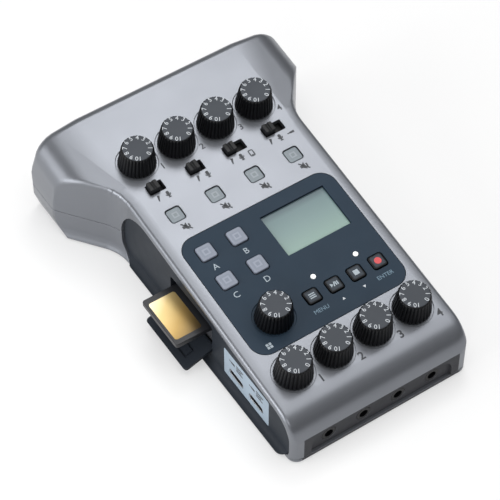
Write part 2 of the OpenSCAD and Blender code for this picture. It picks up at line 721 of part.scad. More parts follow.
rear_flange = 1;
module rear_panel() color(graphite) difference() {
    union() {
        along_y(rear_y - wall - rear_flange, rear_y - flange_sink) rear_outline(rear_open_r - fit_gap);
        intersection() {
            along_y(rear_y - wall - rear_flange, rear_y - wall) rear_outline(rear_open_r + rear_flange);
            case_form(wall + fit_gap, panel_in);
        }
    }
    for (i = [0:3]) translate([row_x(i, xlr_pitch), rear_y, xlr_z]) rotate([90, 0, 0])
        translate([0, 0, -1]) cylinder(h = wall + rear_flange + 2, r = xlr_body_r + fit_gap);
}
// Microphone socket: flange, body, ring for the plug's shell, key way and three contact holes
xlr_ring_out = 9.6;
xlr_ring_in = 8.1;
xlr_ring_d = 13;
xlr_pin_r = 1.3;
xlr_pin_at = 3.9;
xlr_core_sink = 0.6;
xlr_key_w = 3.4;
xlr_key_out = 0.9;
xlr_key_l = 3;
module xlr_socket(i) color(black) translate([row_x(i, xlr_pitch), rear_y - flange_sink, xlr_z])
    rotate([-90, 0, 0]) difference() {
        union() {
            cylinder(h = xlr_flange_t, r = xlr_flange_r);
            translate([0, 0, -xlr_depth]) cylinder(h = xlr_depth + eps, r = xlr_body_r);
        }
        translate([0, 0, xlr_flange_t - xlr_ring_d]) {
            difference() {
                cylinder(h = xlr_ring_d + 1, r = xlr_ring_out);
                translate([0, 0, -1]) cylinder(h = xlr_ring_d + 1 - xlr_core_sink, r = xlr_ring_in);
            }
            translate([-xlr_key_w / 2, -xlr_ring_out - xlr_key_out, 0])
                cube([xlr_key_w, xlr_key_l, xlr_ring_d + 1]);
            for (a = [0:120:240]) rotate([0, 0, a - 90]) translate([xlr_pin_at, 0, 0])
                cylinder(h = xlr_ring_d + 1, r = xlr_pin_r);
        }
    }

// Dark control panel, let into the deck, with its screen and lights
module control_panel() color(slate) difference() {
    deck_slab(-plate_t, 0, [0, plate_v]) shape(box_outline(plate_w / 2, plate_l / 2, plate_r));
    key_openings(-plate_t - 1, 1);
    deck_slab(-dish_d, 1, [pad_knob_x, pad_knob_v]) circle(dish_r);
    deck_slab(-plate_t - 1, 1, [lcd_x, lcd_v]) square([lcd_w, lcd_l], center = true);
}
module lcd_window() color(screen_green) deck_slab(-plate_t, -fit_gap, [lcd_x, lcd_v])
    square([lcd_w - 2 * fit_gap, lcd_l - 2 * fit_gap], center = true);
module lcd_module() color(graphite) deck_slab(-board_d, -deck_under - fit_gap, [lcd_x, lcd_v])
    square([lcd_w + 2 * lcd_ledge, lcd_l + 2 * lcd_ledge], center = true);
light_proud = 0.1;
module light_pipes() color("white") for (i = [0:1])
    deck_slab(-board_d, light_proud, [led_x + i * led_pitch, led_v]) circle(led_r);

// Knob: tapered fluted skirt, cap, spindle bore and hollow underside
cap_h = 0.7;
knob_low = run_gap - dish_d;
knob_bore_top = knob_h - 2;
knob_chamfer = 0.3;
knob_wall = 1.3;
hub_wall = 1.2;
module fluted(r) polygon([for (k = [0:2 * knob_flutes - 1]) let (a = 180 * k / knob_flutes)
    (r - (k % 2) * flute_d) * [cos(a), sin(a)]]);
module knob_at(place) color(black) at_deck(place[0], place[1]) difference() {
    union() {
        translate([0, 0, knob_low])
            linear_extrude(knob_h - cap_h - knob_low, scale = knob_top_r / knob_base_r) fluted(knob_base_r);
        translate([0, 0, knob_h - cap_h - eps])
            cylinder(h = cap_h + eps, r1 = knob_top_r - flute_d, r2 = knob_top_r - flute_d - knob_chamfer);
    }
    translate([0, 0, -1]) cylinder(h = knob_bore_top + 1, r = spindle_r + bore_gap);
    translate([0, 0, -1]) difference() {
        cylinder(h = knob_bore_top - 1, r = knob_top_r - knob_wall);
        translate([0, 0, -1]) cylinder(h = knob_bore_top + 1, r = spindle_r + hub_wall);
    }
}
pot_side = 9.6;
module potentiometers() color(steel) for (p = knob_places) at_deck(p[0], p[1]) {
    slab(-board_d, -deck_under - run_gap) square(pot_side, center = true);
    translate([0, 0, -deck_under - run_gap - eps]) cylinder(h = knob_bore_top + deck_under, r = spindle_r);
}

// Key: cap with a stepped top, flange behind the deck and a stem over its switch
key_flange_d = deck_under + run_gap;
flange_t = 0.9;
flange_rim = 0.8;
switch_top = board_d - 3.2;
stem_d = switch_top - run_gap - key_travel;
stem_r = 1.4;
cap_step = 0.35;
module key_at(place, side, proud) color(clear_grey) at_deck(place[0], place[1]) {
    slab(-key_flange_d, proud - cap_step) square_of(side, corner_key - run_gap);
    slab(proud - cap_step - eps, proud) square_of(side - 2 * cap_step, corner_key - run_gap);
    slab(-key_flange_d - flange_t, -key_flange_d + eps)
        square_of(side + 2 * (flange_rim + run_gap), corner_key);
    translate([0, 0, -stem_d]) cylinder(h = stem_d - key_flange_d, r = stem_r);
}
mute_proud = -0.2;
key_places = concat([for (i = [0:3]) [row_x(i, channel_pitch), mute_v]], [for (i = [0:3]) pad_at(i)],
    [for (i = [0:3]) [key_x + i * key_pitch, key_v]]);
tact_side = 4.6;
tact_h = 0.5;
module key_switches() color(graphite) for (p = key_places) at_deck(p[0], p[1]) {
    slab(-board_d, -switch_top - tact_h) square(tact_side, center = true);
    translate([0, 0, -switch_top - tact_h - eps]) cylinder(h = tact_h + eps, r = stem_r);
}

// Slide switches of the inputs: button at the left end of its slot, body on the control board
function slider_x(i) = row_x(i, channel_pitch) - switch_travel(i) / 2;
grip_r = 0.7;
grip_up = 0.28;
slider_corner = 0.35;
slider_plate = 0.9;
slider_rim = 1;
switch_rim = 1.1;
slider_low = -deck_under - run_gap - slider_plate;
module input_switch(i) color(graphite) at_deck(slider_x(i), switch_v) difference() {
    union() {
        slab(slider_low, slider_h) shape(box_outline(slider_l / 2, slider_w / 2, slider_corner));
        slab(slider_low, slider_low + slider_plate)
            square([slider_l + 2 * slider_rim, slider_w + 2 * slider_rim], center = true);
    }
    translate([0, 0, slider_h + grip_up]) rotate([90, 0, 0])
        cylinder(h = slider_w + 1, r = grip_r, center = true);
}
module switch_bodies() color(steel) for (i = [0:3])
    deck_slab(-board_d, slider_low - run_gap, [row_x(i, channel_pitch), switch_v])
        square([slider_l + 2 * switch_step + slider_rim, slider_w + 2 * switch_rim], center = true);

board_half = half_w - 6.3;
board_past = 6.6;
board_corner = 2;
module control_board() color(board_green) difference() {
    deck_slab(-board_d - board_t, -board_d, [0, (gain_v + phones_v) / 2])
        shape(box_outline(board_half, (gain_v - phones_v) / 2 + board_past, board_corner));
    on_deck() posts(deck_post, -board_d - board_t - 1, 0, screw_r + fit_gap);
}
main_y0 = front_y + 8.6;
main_y1 = tray_y - 3;
module main_board() color(board_green) difference() {
    slab(board_z, board_z + board_t) translate([0, (main_y0 + main_y1) / 2])
        shape(box_outline(board_half, (main_y1 - main_y0) / 2, board_corner));
    posts(main_post, 0, big, screw_r + fit_gap);
}

// Jacks: barrel through the wall, body on the main board
jack_l = 13;
jack_w = 6.6;
jack_low = 0.2;
jack_back = 1;
module jack() difference() {
    union() {
        translate([0, scoop_d, 0]) rotate([-90, 0, 0]) cylinder(h = jack_l, r = jack_barrel_r);
        translate([-jack_w / 2, wall + fit_gap, -jack_barrel_r - jack_low])
            cube([jack_w, jack_l - wall, board_z - jack_z + jack_barrel_r + jack_low]);
    }
    rotate([-90, 0, 0]) cylinder(h = jack_l - jack_back, r = jack_bore_r);
}
module phones_jacks() color(black) for (i = [0:3]) translate([row_x(i, jack_pitch), front_y, jack_z]) jack();
phone_sink = 0.1;
phone_back = 1.5;
phone_body_l = jack_l - panel_t - wall - 0.6;
module phone_jack() color(black) translate([panel_out - jack_l, phone_y, phone_z]) difference() {
    union() {
        rotate([0, 90, 0]) cylinder(h = jack_l - phone_sink, r = jack_barrel_r);
        translate([0, -jack_w / 2, -jack_barrel_r])
            cube([phone_body_l, jack_w, board_z - phone_z + jack_barrel_r]);
    }
    translate([phone_back, 0, 0]) rotate([0, 90, 0]) cylinder(h = jack_l, r = jack_bore_r);
}
usb_shell = 0.4;
usb_sink = 0.1;
usb_in = 5;
usb_back = 2;
module usb_sockets() color(steel) for (i = [0:1]) difference() {
    along_x(-panel_out + usb_sink, -panel_in + wall + usb_in) translate([usb_y + i * usb_pitch, usb_z])
        shape(box_outline(usb_w / 2, usb_h / 2, usb_h / 2 - eps));
    along_x(-panel_out - 1, -panel_in + wall + usb_in - usb_back) translate([usb_y + i * usb_pitch, usb_z])
        shape(box_outline(usb_w / 2 - usb_shell, usb_h / 2 - usb_shell, usb_h / 2 - usb_shell - eps));
}

// Power switch on the right: sliding button and its body
power_proud = 0.8;
power_plate = 0.9;
power_rim = 1;
power_corner = 0.5;
module power_section(rim) translate([power_y - power_travel / 2, power_z])
    shape(box_outline(power_len / 2 + rim, power_rise + rim, power_corner));
module power_switch() color(black) {
    along_x(panel_in - wall - run_gap - power_plate / 2, panel_out + power_proud) power_section(0);
    along_x(panel_in - wall - run_gap - power_plate, panel_in - wall - run_gap) power_section(power_rim);
}
power_body_x = panel_in - wall - 2 * run_gap - power_plate;
power_body = [5, 11, 6];
module power_switch_body() color(steel) translate([power_body_x, power_y, board_z + board_t])
    translate([-power_body[0], -power_body[1] / 2, 0]) cube(power_body);

// Memory card: level, label up, one cut corner; rests part way out of its slot
card_x0 = -panel_out - card_out;
card_cut = 4;
card_corner = 1;
card_tip = 0.3;
module memory_card() color(black) slab(card_z - card_t / 2, card_z + card_t / 2) translate([card_x0, card_y])
    shape([[0, -card_w / 2, card_corner], [card_l, -card_w / 2, card_tip],
        [card_l, card_w / 2 - card_cut, card_tip], [card_l - card_cut, card_w / 2, card_tip],
        [0, card_w / 2, card_corner]]);
socket_wall = 1.2;
socket_roof = 1;
socket_top = card_z + card_t / 2 + socket_roof;
card_sink = 1.6;
socket_x0 = -panel_in + wall + 0.4;
card_travel = card_out + panel_t + card_sink;
socket_x1 = card_x0 + card_l + card_travel + 1.6;
module card_socket() color(steel) difference() {
    translate([socket_x0, card_y - card_w / 2 - socket_wall, board_z + board_t])
        cube([socket_x1 - socket_x0, card_w + 2 * socket_wall, socket_top - board_z - board_t]);
    translate([socket_x0 - 1, card_y - card_w / 2 - card_gap, card_z - card_t / 2 - card_gap])
        cube([socket_x1 - socket_x0, card_w + 2 * card_gap, card_t + 2 * card_gap]);
}
// Card door, drawn shut and swung open about its lower edge, with a sunk frame on its inner face
door_sunk = 0.4;
frame_in = 2.4;
frame_w = 0.8;
frame_r = 0.4;
module card_door() color(graphite) translate([hinge_x, door_y, hinge_z]) rotate([0, -90 - door_slope, 0]) {
    rotate([90, 0, 0]) cylinder(h = door_l, r = door_t / 2, center = true);
    rotate([90, 0, 0]) cylinder(h = door_l + 2 * (pin_l + door_gap - card_gap), r = hinge_r, center = true);
    difference() {
        along_x(-door_t / 2, door_t / 2) shape([[-door_l / 2, 0, 0], [door_l / 2, 0, 0],
            [door_l / 2, door_h, door_corner], [-door_l / 2, door_h, door_corner]]);
        along_x(door_t / 2 - door_sunk, door_t) translate([card_y - door_y, card_z - hinge_z]) difference() {
            shape(box_outline(slot_half - frame_in, slot_rise, frame_r));
            shape(box_outline(slot_half - frame_in - frame_w, slot_rise - frame_w, frame_r / 2));
        }
    }
}

// Battery tray, cells, contacts and the sliding battery cover
module battery_tray() color(graphite) difference() {
    translate([-tray_in_x - tray_wall, tray_y, floor_z])
        cube([2 * (tray_in_x + tray_wall), tray_in_y + 2 * tray_wall, tray_top + tray_wall - floor_z]);
    translate([-tray_in_x, tray_y + tray_wall, floor_z - 1])
        cube([2 * tray_in_x, tray_in_y, tray_top - floor_z + 1]);
}
cell_z = foot_h + lid_t + fit_gap + cell_r;
cell_side_gap = 0.2;
cell_tip = 1;
cell_tip_r = 2.7;
function cell_y(i) = tray_y + tray_wall + tray_in_y / 2 + (i == 0 ? -1 : 1) * (cell_r + cell_side_gap);
module cells() color(gold) for (i = [0:1])
    translate([0, cell_y(i), cell_z]) rotate([0, i == 0 ? 90 : -90, 0]) {
        translate([0, 0, -cell_l / 2]) cylinder(h = cell_l - cell_tip, r = cell_r);
        translate([0, 0, cell_l / 2 - cell_tip - eps]) cylinder(h = cell_tip + eps, r = cell_tip_r);
    }
contact_t = 0.5;
contact_side = 10;
contact_r = 2;
module battery_contacts() color(steel) for (i = [0:1], s = [-1, 1])
    translate([s * tray_in_x, cell_y(i), cell_z]) rotate([0, -90 * s, 0]) {
        slab(0, contact_t) square(contact_side, center = true);
        cylinder(h = tray_in_x - cell_l / 2, r = contact_r);
    }
rib_y = 3;
rib_pitch = 1.6;
rib_l = 14;
rib_r = 0.4;
module battery_cover() color(graphite) difference() {
    union() {
        translate([-lid_x + lid_tongue, lid_y0, foot_h])
            cube([2 * (lid_x - lid_tongue), lid_y1 - lid_y0, lid_t]);
        translate([-lid_x, lid_y0, lid_split]) cube([2 * lid_x, lid_y1 - lid_y0, lid_t - lid_step]);
    }
    for (k = [0:4]) translate([0, lid_y0 + rib_y + rib_pitch * k, foot_h]) rotate([0, 90, 0])
        cylinder(h = rib_l, r = rib_r, center = true);
}
module rubber_feet() color(black) posts(feet, 0, foot_h + foot_sink, foot_r);
module case_screws() color(steel) {
    for (p = main_post) translate([p[0], p[1], foot_h + head_sink]) screw(board_screw_l);
    for (p = case_post) translate([p[0], p[1], foot_h + head_sink]) screw(case_screw_l);
    for (p = deck_post) at_deck(p[0], p[1])
        translate([0, 0, -board_d - board_t - head_h]) screw(deck_screw_l);
}

top_cover();
bottom_cover();
side_panel_left();
side_panel_right();
rear_panel();
xlr_socket(0);  // xlr_socket_1
xlr_socket(1);  // xlr_socket_2
xlr_socket(2);  // xlr_socket_3
xlr_socket(3);  // xlr_socket_4
control_panel();
lcd_window();
lcd_module();
light_pipes();
knob_at(knob_places[0]);  // gain_knob_1
knob_at(knob_places[1]);  // gain_knob_2
knob_at(knob_places[2]);  // gain_knob_3
knob_at(knob_places[3]);  // gain_knob_4
knob_at(knob_places[4]);  // phones_knob_1
knob_at(knob_places[5]);  // phones_knob_2
knob_at(knob_places[6]);  // phones_knob_3
knob_at(knob_places[7]);  // phones_knob_4
knob_at(knob_places[8]);  // pad_knob
potentiometers();
key_at(key_places[0], key_side, mute_proud);  // mute_key_1
key_at(key_places[1], key_side, mute_proud);  // mute_key_2
key_at(key_places[2], key_side, mute_proud);  // mute_key_3
key_at(key_places[3], key_side, mute_proud);  // mute_key_4
key_at(key_places[4], pad_side, pad_proud);  // sound_pad_a
key_at(key_places[5], pad_side, pad_proud);  // sound_pad_b
key_at(key_places[6], pad_side, pad_proud);  // sound_pad_c
key_at(key_places[7], pad_side, pad_proud);  // sound_pad_d
key_at(key_places[8], key_side, key_proud);  // menu_key
key_at(key_places[9], key_side, key_proud);  // play_key
key_at(key_places[10], key_side, key_proud);  // stop_key
key_at(key_places[11], key_side, key_proud);  // record_key
key_switches();
input_switch(0);  // input_switch_1
input_switch(1);  // input_switch_2
input_switch(2);  // input_switch_3
input_switch(3);  // input_switch_4
switch_bodies();
control_board();
main_board();
phones_jacks();
phone_jack();
usb_sockets();
usb_plate();
power_switch();
power_switch_body();
memory_card();
card_socket();
card_door();
battery_tray();
cells();
battery_contacts();
battery_cover();
rubber_feet();
case_screws();
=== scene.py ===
"""Looks of a portable podcast recorder: painted case, fluted knobs, soft pads, screen, card and printing.

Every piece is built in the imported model's frame: x to the right, y to the rear, z up. Sizes in the classes
are in millimetres and angles in degrees, and they become metres when a mesh or a material is made.
"""
import logging
import math
from dataclasses import dataclass, field
from enum import Enum
from typing import Any, Sequence

import bmesh
import bpy
import numpy as np
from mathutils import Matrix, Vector


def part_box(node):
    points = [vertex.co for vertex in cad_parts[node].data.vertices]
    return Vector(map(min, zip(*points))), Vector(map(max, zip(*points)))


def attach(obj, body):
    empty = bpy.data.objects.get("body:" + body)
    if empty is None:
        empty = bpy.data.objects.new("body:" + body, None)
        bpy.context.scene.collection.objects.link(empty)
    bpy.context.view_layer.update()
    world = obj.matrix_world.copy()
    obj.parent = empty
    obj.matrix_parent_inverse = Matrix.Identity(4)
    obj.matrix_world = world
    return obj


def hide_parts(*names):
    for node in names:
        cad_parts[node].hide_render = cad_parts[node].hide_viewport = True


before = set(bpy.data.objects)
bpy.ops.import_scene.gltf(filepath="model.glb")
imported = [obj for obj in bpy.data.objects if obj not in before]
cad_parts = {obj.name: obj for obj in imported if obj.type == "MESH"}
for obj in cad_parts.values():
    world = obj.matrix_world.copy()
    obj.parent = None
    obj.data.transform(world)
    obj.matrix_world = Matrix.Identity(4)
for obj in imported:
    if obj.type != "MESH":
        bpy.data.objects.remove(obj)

LOG = logging.getLogger("recorder")
Array = np.ndarray
Number = float | Array
Pair = tuple[float, float]
Triple = tuple[float, float, float]
Face = tuple[int, ...]
Tree = bpy.types.NodeTree
Socket = bpy.types.NodeSocket
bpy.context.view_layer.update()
MM = 0.001
CASE = "case"
CHANNELS = 4


class Mark(Enum):
    """Small printed signs."""

    MICROPHONE = "microphone"
    WAND = "wand"
    HANDSET = "handset"
    PLUG = "plug"
    MUTE = "mute"
    UP = "up"
    DOWN = "down"
    BARS = "bars"
    PLAY = "play"
    STOP = "stop"
    RECORD = "record"
    SQUARES = "squares"


def linear(colour: str) -> tuple[float, float, float, float]:
    """Turns an sRGB hex colour to linear RGBA.

    Args:
        colour: Six hex digits after a hash.

    Returns:
        Linear red, green, blue and full opacity.
    """
    channels = [int(colour[k : k + 2], 16) / 255 for k in (1, 3, 5)]
    curve = [c / 12.92 if c <= 0.04045 else ((c + 0.055) / 1.055) ** 2.4 for c in channels]
    return (curve[0], curve[1], curve[2], 1.0)


def add(tree: Tree, kind: str, settings: dict[str, Any] | None = None,
        inputs: dict[str | int, Any] | None = None) -> bpy.types.Node:
    """Adds one shader node.

    Args:
        tree: Node tree of the material or world.
        kind: Blender's name of the node type.
        settings: Properties of the node.
        inputs: Socket name or number to a value, or to the socket that feeds it.

    Returns:
        The new node.
    """
    node = tree.nodes.new(kind)
    for key, value in (settings or {}).items():
        setattr(node, key, value)
    for key, value in (inputs or {}).items():
        if isinstance(value, Socket):
            tree.links.new(value, node.inputs[key])
        else:
            node.inputs[key].default_value = value
    return node


def blank_tree(owner: bpy.types.Material | bpy.types.World) -> Tree:
    """Turns the nodes of a material or world on and empties them.

    Args:
        owner: The material or world.

    Returns:
        Its empty node tree.
    """
    owner.use_nodes = True
    owner.node_tree.nodes.clear()
    return owner.node_tree


def set_stops(ramp: bpy.types.Node, stops: Sequence[tuple[float, Sequence[float]]]) -> None:
    """Gives a colour ramp its stops.

    Args:
        ramp: The ramp's node, with the two stops that it starts with.
        stops: Place from 0 to 1 and linear RGBA colour of each stop, in order.
    """
    elements = ramp.color_ramp.elements
    while len(elements) < len(stops):
        elements.new(1.0)
    for stop, (at, colour) in zip(elements, stops):
        stop.position = at
        stop.color = colour


@dataclass(frozen=True)
class Finish:
    """A moulded or painted surface: one colour, mottled a little, with a fine grain in bump and gloss.

    The mottling turns from dark to light over mottle_band of its noise. The gloss wanders in patches of
    haze_share times mottle_mm, and its roughness is never under smoothest.
    """

    name: str
    colour: str
    roughness: float
    metallic: float = 0.0
    ior: float = 1.5
    specular: float = 0.5
    coat: float = 0.0
    coat_roughness: float = 0.1
    grain_mm: float = 0.6
    grain_bump: float = 0.02
    mottle_mm: float = 14.0
    mottle: float = 0.05
    mottle_band: Pair = (0.35, 0.65)
    haze_share: float = 0.4
    gloss_spread: float = 0.06
    smoothest: float = 0.02
    emission: float = 0.0

    def material(self) -> bpy.types.Material:
        """Builds the material once and gives it back on later calls; a metal keeps the default IOR.

        Returns:
            The material, which has the finish's name.
        """
        known = bpy.data.materials.get(self.name)
        if known:
            return known
        made = bpy.data.materials.new(self.name)
        tree = blank_tree(made)
        place = add(tree, "ShaderNodeTexCoord").outputs["Object"]
        shader = add(tree, "ShaderNodeBsdfPrincipled", None, {
            "Base Color": self.tone(tree, place),
            "Roughness": self.gloss(tree, place),
            "Metallic": self.metallic,
            "Specular IOR Level": self.specular,
            "Coat Weight": self.coat,
            "Coat Roughness": self.coat_roughness,
            "Normal": self.relief(tree, place),
        })
        if not self.metallic:
            shader.inputs["IOR"].default_value = self.ior
        if self.emission:
            shader.inputs["Emission Color"].default_value = linear(self.colour)
            shader.inputs["Emission Strength"].default_value = self.emission
        add(tree, "ShaderNodeOutputMaterial", None, {"Surface": shader.outputs["BSDF"]})
        return made

    def tone(self, tree: Tree, place: Socket) -> Socket:
        """Base colour with slow mottling, in patches of mottle_mm.

        Args:
            tree: The material's nodes.
            place: Object coordinates.

        Returns:
            The socket that gives the colour.
        """
        cloud = add(tree, "ShaderNodeTexNoise", None,
                    {"Vector": place, "Scale": 1 / (self.mottle_mm * MM), "Detail": 3.0})
        base = np.array(linear(self.colour)[:3])
        shades = base * (1 - self.mottle), np.minimum(base * (1 + self.mottle), 1)
        ramp = add(tree, "ShaderNodeValToRGB", None, {"Fac": cloud.outputs["Fac"]})
        set_stops(ramp, [(at, (*rgb, 1.0)) for at, rgb in zip(self.mottle_band, shades)])
        return ramp.outputs["Color"]

    def gloss(self, tree: Tree, place: Socket) -> Socket:
        """Roughness that wanders by gloss_spread, as handled and moulded faces do.

        Args:
            tree: The material's nodes.
            place: Object coordinates.

        Returns:
            The socket that gives the roughness.
        """
        haze = add(tree, "ShaderNodeTexNoise", None,
                   {"Vector": place, "Scale": 1 / (self.mottle_mm * MM * self.haze_share), "Detail": 4.0})
        spread = add(tree, "ShaderNodeMapRange", None, {
            "Value": haze.outputs["Fac"],
            "To Min": max(self.roughness - self.gloss_spread, self.smoothest),
            "To Max": self.roughness + self.gloss_spread,
        })
        return spread.outputs["Result"]

    def relief(self, tree: Tree, place: Socket) -> Socket:
        """Fine grain of grain_mm as bump; finer real grain is drawn this coarse so that it shows.

        Args:
            tree: The material's nodes.
            place: Object coordinates.

        Returns:
            The socket that gives the normal.
        """
        grain = add(tree, "ShaderNodeTexNoise", None,
                    {"Vector": place, "Scale": 1 / (self.grain_mm * MM), "Detail": 2.0})
        bump = add(tree, "ShaderNodeBump", None, {
            "Height": grain.outputs["Fac"], "Distance": self.grain_bump * MM, "Strength": 1.0})
        return bump.outputs["Normal"]


@dataclass(frozen=True)
class ShellFinish(Finish):
    """Paint on a shell that catches light on its edges, widest on the shoulders above the seam.

    The lit edge is narrow_mm wide and grows to wide_mm over the span across_mm from the middle plane and
    the span above_mm from the table.
    """

    narrow_mm: float = 0.3
    wide_mm: float = 3.0
    across_mm: Pair = (42.0, 47.0)
    above_mm: Pair = (23.0, 29.0)

    def relief(self, tree: Tree, place: Socket) -> Socket:
        """The grain, on normals that turn over each edge within a radius that grows outwards and upwards.

        Args:
            tree: The material's nodes.
            place: Object coordinates.

        Returns:
            The socket that gives the normal.
        """
        axes = add(tree, "ShaderNodeSeparateXYZ", None, {"Vector": place})
        side = add(tree, "ShaderNodeMath", {"operation": "ABSOLUTE"}, {0: axes.outputs["X"]})
        spans = ((side.outputs["Value"], self.across_mm), (axes.outputs["Z"], self.above_mm))
        shares = []
        for value, (start, end) in spans:
            share = add(tree, "ShaderNodeMapRange", None,
                        {"Value": value, "From Min": start * MM, "From Max": end * MM})
            shares.append(share.outputs["Result"])
        both = add(tree, "ShaderNodeMath", {"operation": "MULTIPLY"}, {0: shares[0], 1: shares[1]})
        radius = add(tree, "ShaderNodeMapRange", None, {
            "Value": both.outputs["Value"], "To Min": self.narrow_mm * MM, "To Max": self.wide_mm * MM})
        edge = add(tree, "ShaderNodeBevel", {"samples": 8}, {"Radius": radius.outputs["Result"]})
        grain = super().relief(tree, place)
        tree.links.new(edge.outputs["Normal"], grain.node.inputs["Normal"])
        return grain


@dataclass(frozen=True)
class RampFinish(Finish):
    """A surface whose tone follows a value through stops: here the mesh's own ring value, 0 in the middle."""

    stops: tuple[tuple[float, str], ...] = ()

    def feed(self, tree: Tree, place: Socket) -> Socket:
        """The value that the stops are read at, from the mesh."""
        return add(tree, "ShaderNodeAttribute", {"attribute_name": "ring"}).outputs["Fac"]

    def tone(self, tree: Tree, place: Socket) -> Socket:
        """Base colour read through the stops.

        Args:
            tree: The material's nodes.
            place: Object coordinates.

        Returns:
            The socket that gives the colour.
        """
        ramp = add(tree, "ShaderNodeValToRGB", None, {"Fac": self.feed(tree, place)})
        set_stops(ramp, [(at, linear(colour)) for at, colour in self.stops])
        return ramp.outputs["Color"]


@dataclass(frozen=True)
class SlopedFinish(RampFinish):
    """A surface whose tone changes along one direction: here painted shade on a screen and a painted
    reflection on a foil label.
    """

    start: Triple = (0.0, 0.0, 0.0)
    turn: float = 0.0
    reach_mm: float = 20.0

    def feed(self, tree: Tree, place: Socket) -> Socket:
        """How far a place lies from start, in the direction of turn, in shares of reach_mm.

        Args:
            tree: The material's nodes.
            place: Object coordinates.

        Returns:
            The socket that gives the share.
        """
        moved = add(tree, "ShaderNodeMapping", {"vector_type": "TEXTURE"}, {
            "Vector": place,
            "Location": tuple(c * MM for c in self.start),
            "Rotation": (0.0, 0.0, math.radians(self.turn)),
            "Scale": (self.reach_mm * MM,) * 3,
        })
        return add(tree, "ShaderNodeTexGradient", None, {"Vector": moved.outputs["Vector"]}).outputs["Fac"]


# Metallic silver paint over ABS: a soft broad gloss, flakes too fine to see singly
SILVER = ShellFinish("silver_paint_on_abs", "#7d8086", 0.34, metallic=0.7, specular=0.15, coat=0.08,
                     coat_roughness=0.2, grain_mm=0.5, grain_bump=0.003, mottle_mm=30.0, mottle=0.015,
                     gloss_spread=0.03)
# The silver paint in the jacks' recess, darker and duller: painted shade of the recess
RECESS_PAINTED_SHADE = Finish("painted_shade_in_recess", "#47484c", 0.55, ior=1.25, grain_bump=0.006)
# Moulded ABS with a light spark texture: dark, satin
GRAPHITE = Finish("graphite_moulded_abs", "#262b32", 0.5, ior=1.22, grain_bump=0.012)
# Printed polycarbonate panel: slate blue, even satin
SLATE = Finish("slate_polycarbonate_panel", "#263543", 0.5, ior=1.25, grain_mm=0.5, grain_bump=0.006,
               mottle=0.03)
# Moulded black ABS of knobs' skirts, sockets and sliders: deep black with a soft sheen
BLACK = Finish("black_moulded_abs", "#0c0d10", 0.4, ior=1.32, grain_bump=0.008)
# Satin lacquer on a knob's turned top: grey, even, no sharp highlight
KNOB_TOP = Finish("grey_satin_knob_top", "#43474d", 0.5, ior=1.3, grain_mm=0.4, grain_bump=0.008)
# Unpainted moulding of hidden parts: near black and dull
WELL = Finish("dark_inner_plastic", "#0b0c0e", 0.6)
# Stamped and nickel plated steel: bright, a little hazy
STEEL = Finish("nickel_plated_steel", "#a9abae", 0.28, metallic=1.0, grain_bump=0.003)
# Solder mask over glass fibre: green, glossy, uneven over the copper
BOARD = Finish("green_solder_mask", "#1f5a3c", 0.35, mottle=0.1)
# Printed polyester film on the socket plate: pale blue grey, smooth
PLATE = Finish("pale_printed_film", "#9dadbb", 0.4, ior=1.35, grain_bump=0.003)
# Fine moulded ABS of the memory card: black, a touch lighter than the knobs
CARD = Finish("black_card_abs", "#1b1c20", 0.4, grain_bump=0.01)
# Moulded rubber feet: black, matt and grainy
RUBBER = Finish("black_foot_rubber", "#101113", 0.85, grain_bump=0.03)
# Shrunk printed sleeve of the cells: plain olive, glossy
CELL = Finish("printed_cell_sleeve", "#7d7347", 0.35, grain_bump=0.003)
# Moulded acrylic light pipes: white, lit faintly from below
LIGHT = Finish("white_light_pipe", "#f0f2f2", 0.3, mottle=0.01, grain_bump=0.001, emission=0.25)
# Cast silicone pads over lamps: pale, cloudy, a square frame showing through
PAD_RINGS = ((0.0, "#808794"), (0.20, "#808794"), (0.25, "#959ba8"), (0.40, "#9198a6"), (0.46, "#828996"),
             (0.70, "#888e9b"), (0.84, "#8e95a2"), (0.94, "#797f8c"), (1.0, "#555a66"))
PAD = RampFinish("clear_cast_silicone", "#8e95a1", 0.4, ior=1.3, grain_bump=0.004, stops=PAD_RINGS)
# Clear moulded keys over lamps: the grey of what lies behind, a brighter square frame
MUTE_RINGS = ((0.0, "#757e84"), (0.20, "#757e84"), (0.26, "#8c959a"), (0.40, "#889097"), (0.48, "#767f86"),
              (0.78, "#7f888e"), (0.92, "#8b949a"), (1.0, "#555d63"))
MUTE = RampFinish("clear_moulded_polycarbonate", "#848e94", 0.3, ior=1.35, coat=0.03, grain_bump=0.003,
                  stops=MUTE_RINGS)
# Tinted keys: a grey face inside a broad black edge
KEY_RINGS = ((0.0, "#333d46"), (0.66, "#2f3740"), (0.76, "#20262d"), (0.84, "#080a0d"), (1.0, "#06070a"))
KEY = RampFinish("dark_tinted_key", "#343c44", 0.4, ior=1.3, grain_bump=0.006, stops=KEY_RINGS)
# Clear polycarbonate over a reflective display: green grey, darker towards its far edge as painted shade
# under the window's rear edge
SCREEN_RUN_WITH_SHADE = ((0.0, "#89a299"), (0.45, "#7a918f"), (0.82, "#6b8183"), (1.0, "#4a5a61"))
# Metallised foil of the card's label: pale gold that darkens to brown across it, a painted reflection of the
# dark side panel
GOLD_RUN_WITH_REFLECTION = ((0.0, "#efe4bf"), (0.3, "#cbb27a"), (0.62, "#a5884f"), (1.0, "#57462a"))


class Ink(Enum):
    """Printing colours on the recorder."""

    DARK = "#2e3136"
    WHITE = "#c6cbd0"
    PALE = "#a3afb7"
    BLUE = "#6c8798"
    RED = "#d3474b"

    def finish(self) -> Finish:
        """Thin screen ink: even, hardly glossy, with a trace of the mesh that laid it."""
        return Finish(f"{self.name.lower()}_screen_ink", self.value, 0.5, mottle=0.03, grain_bump=0.002)


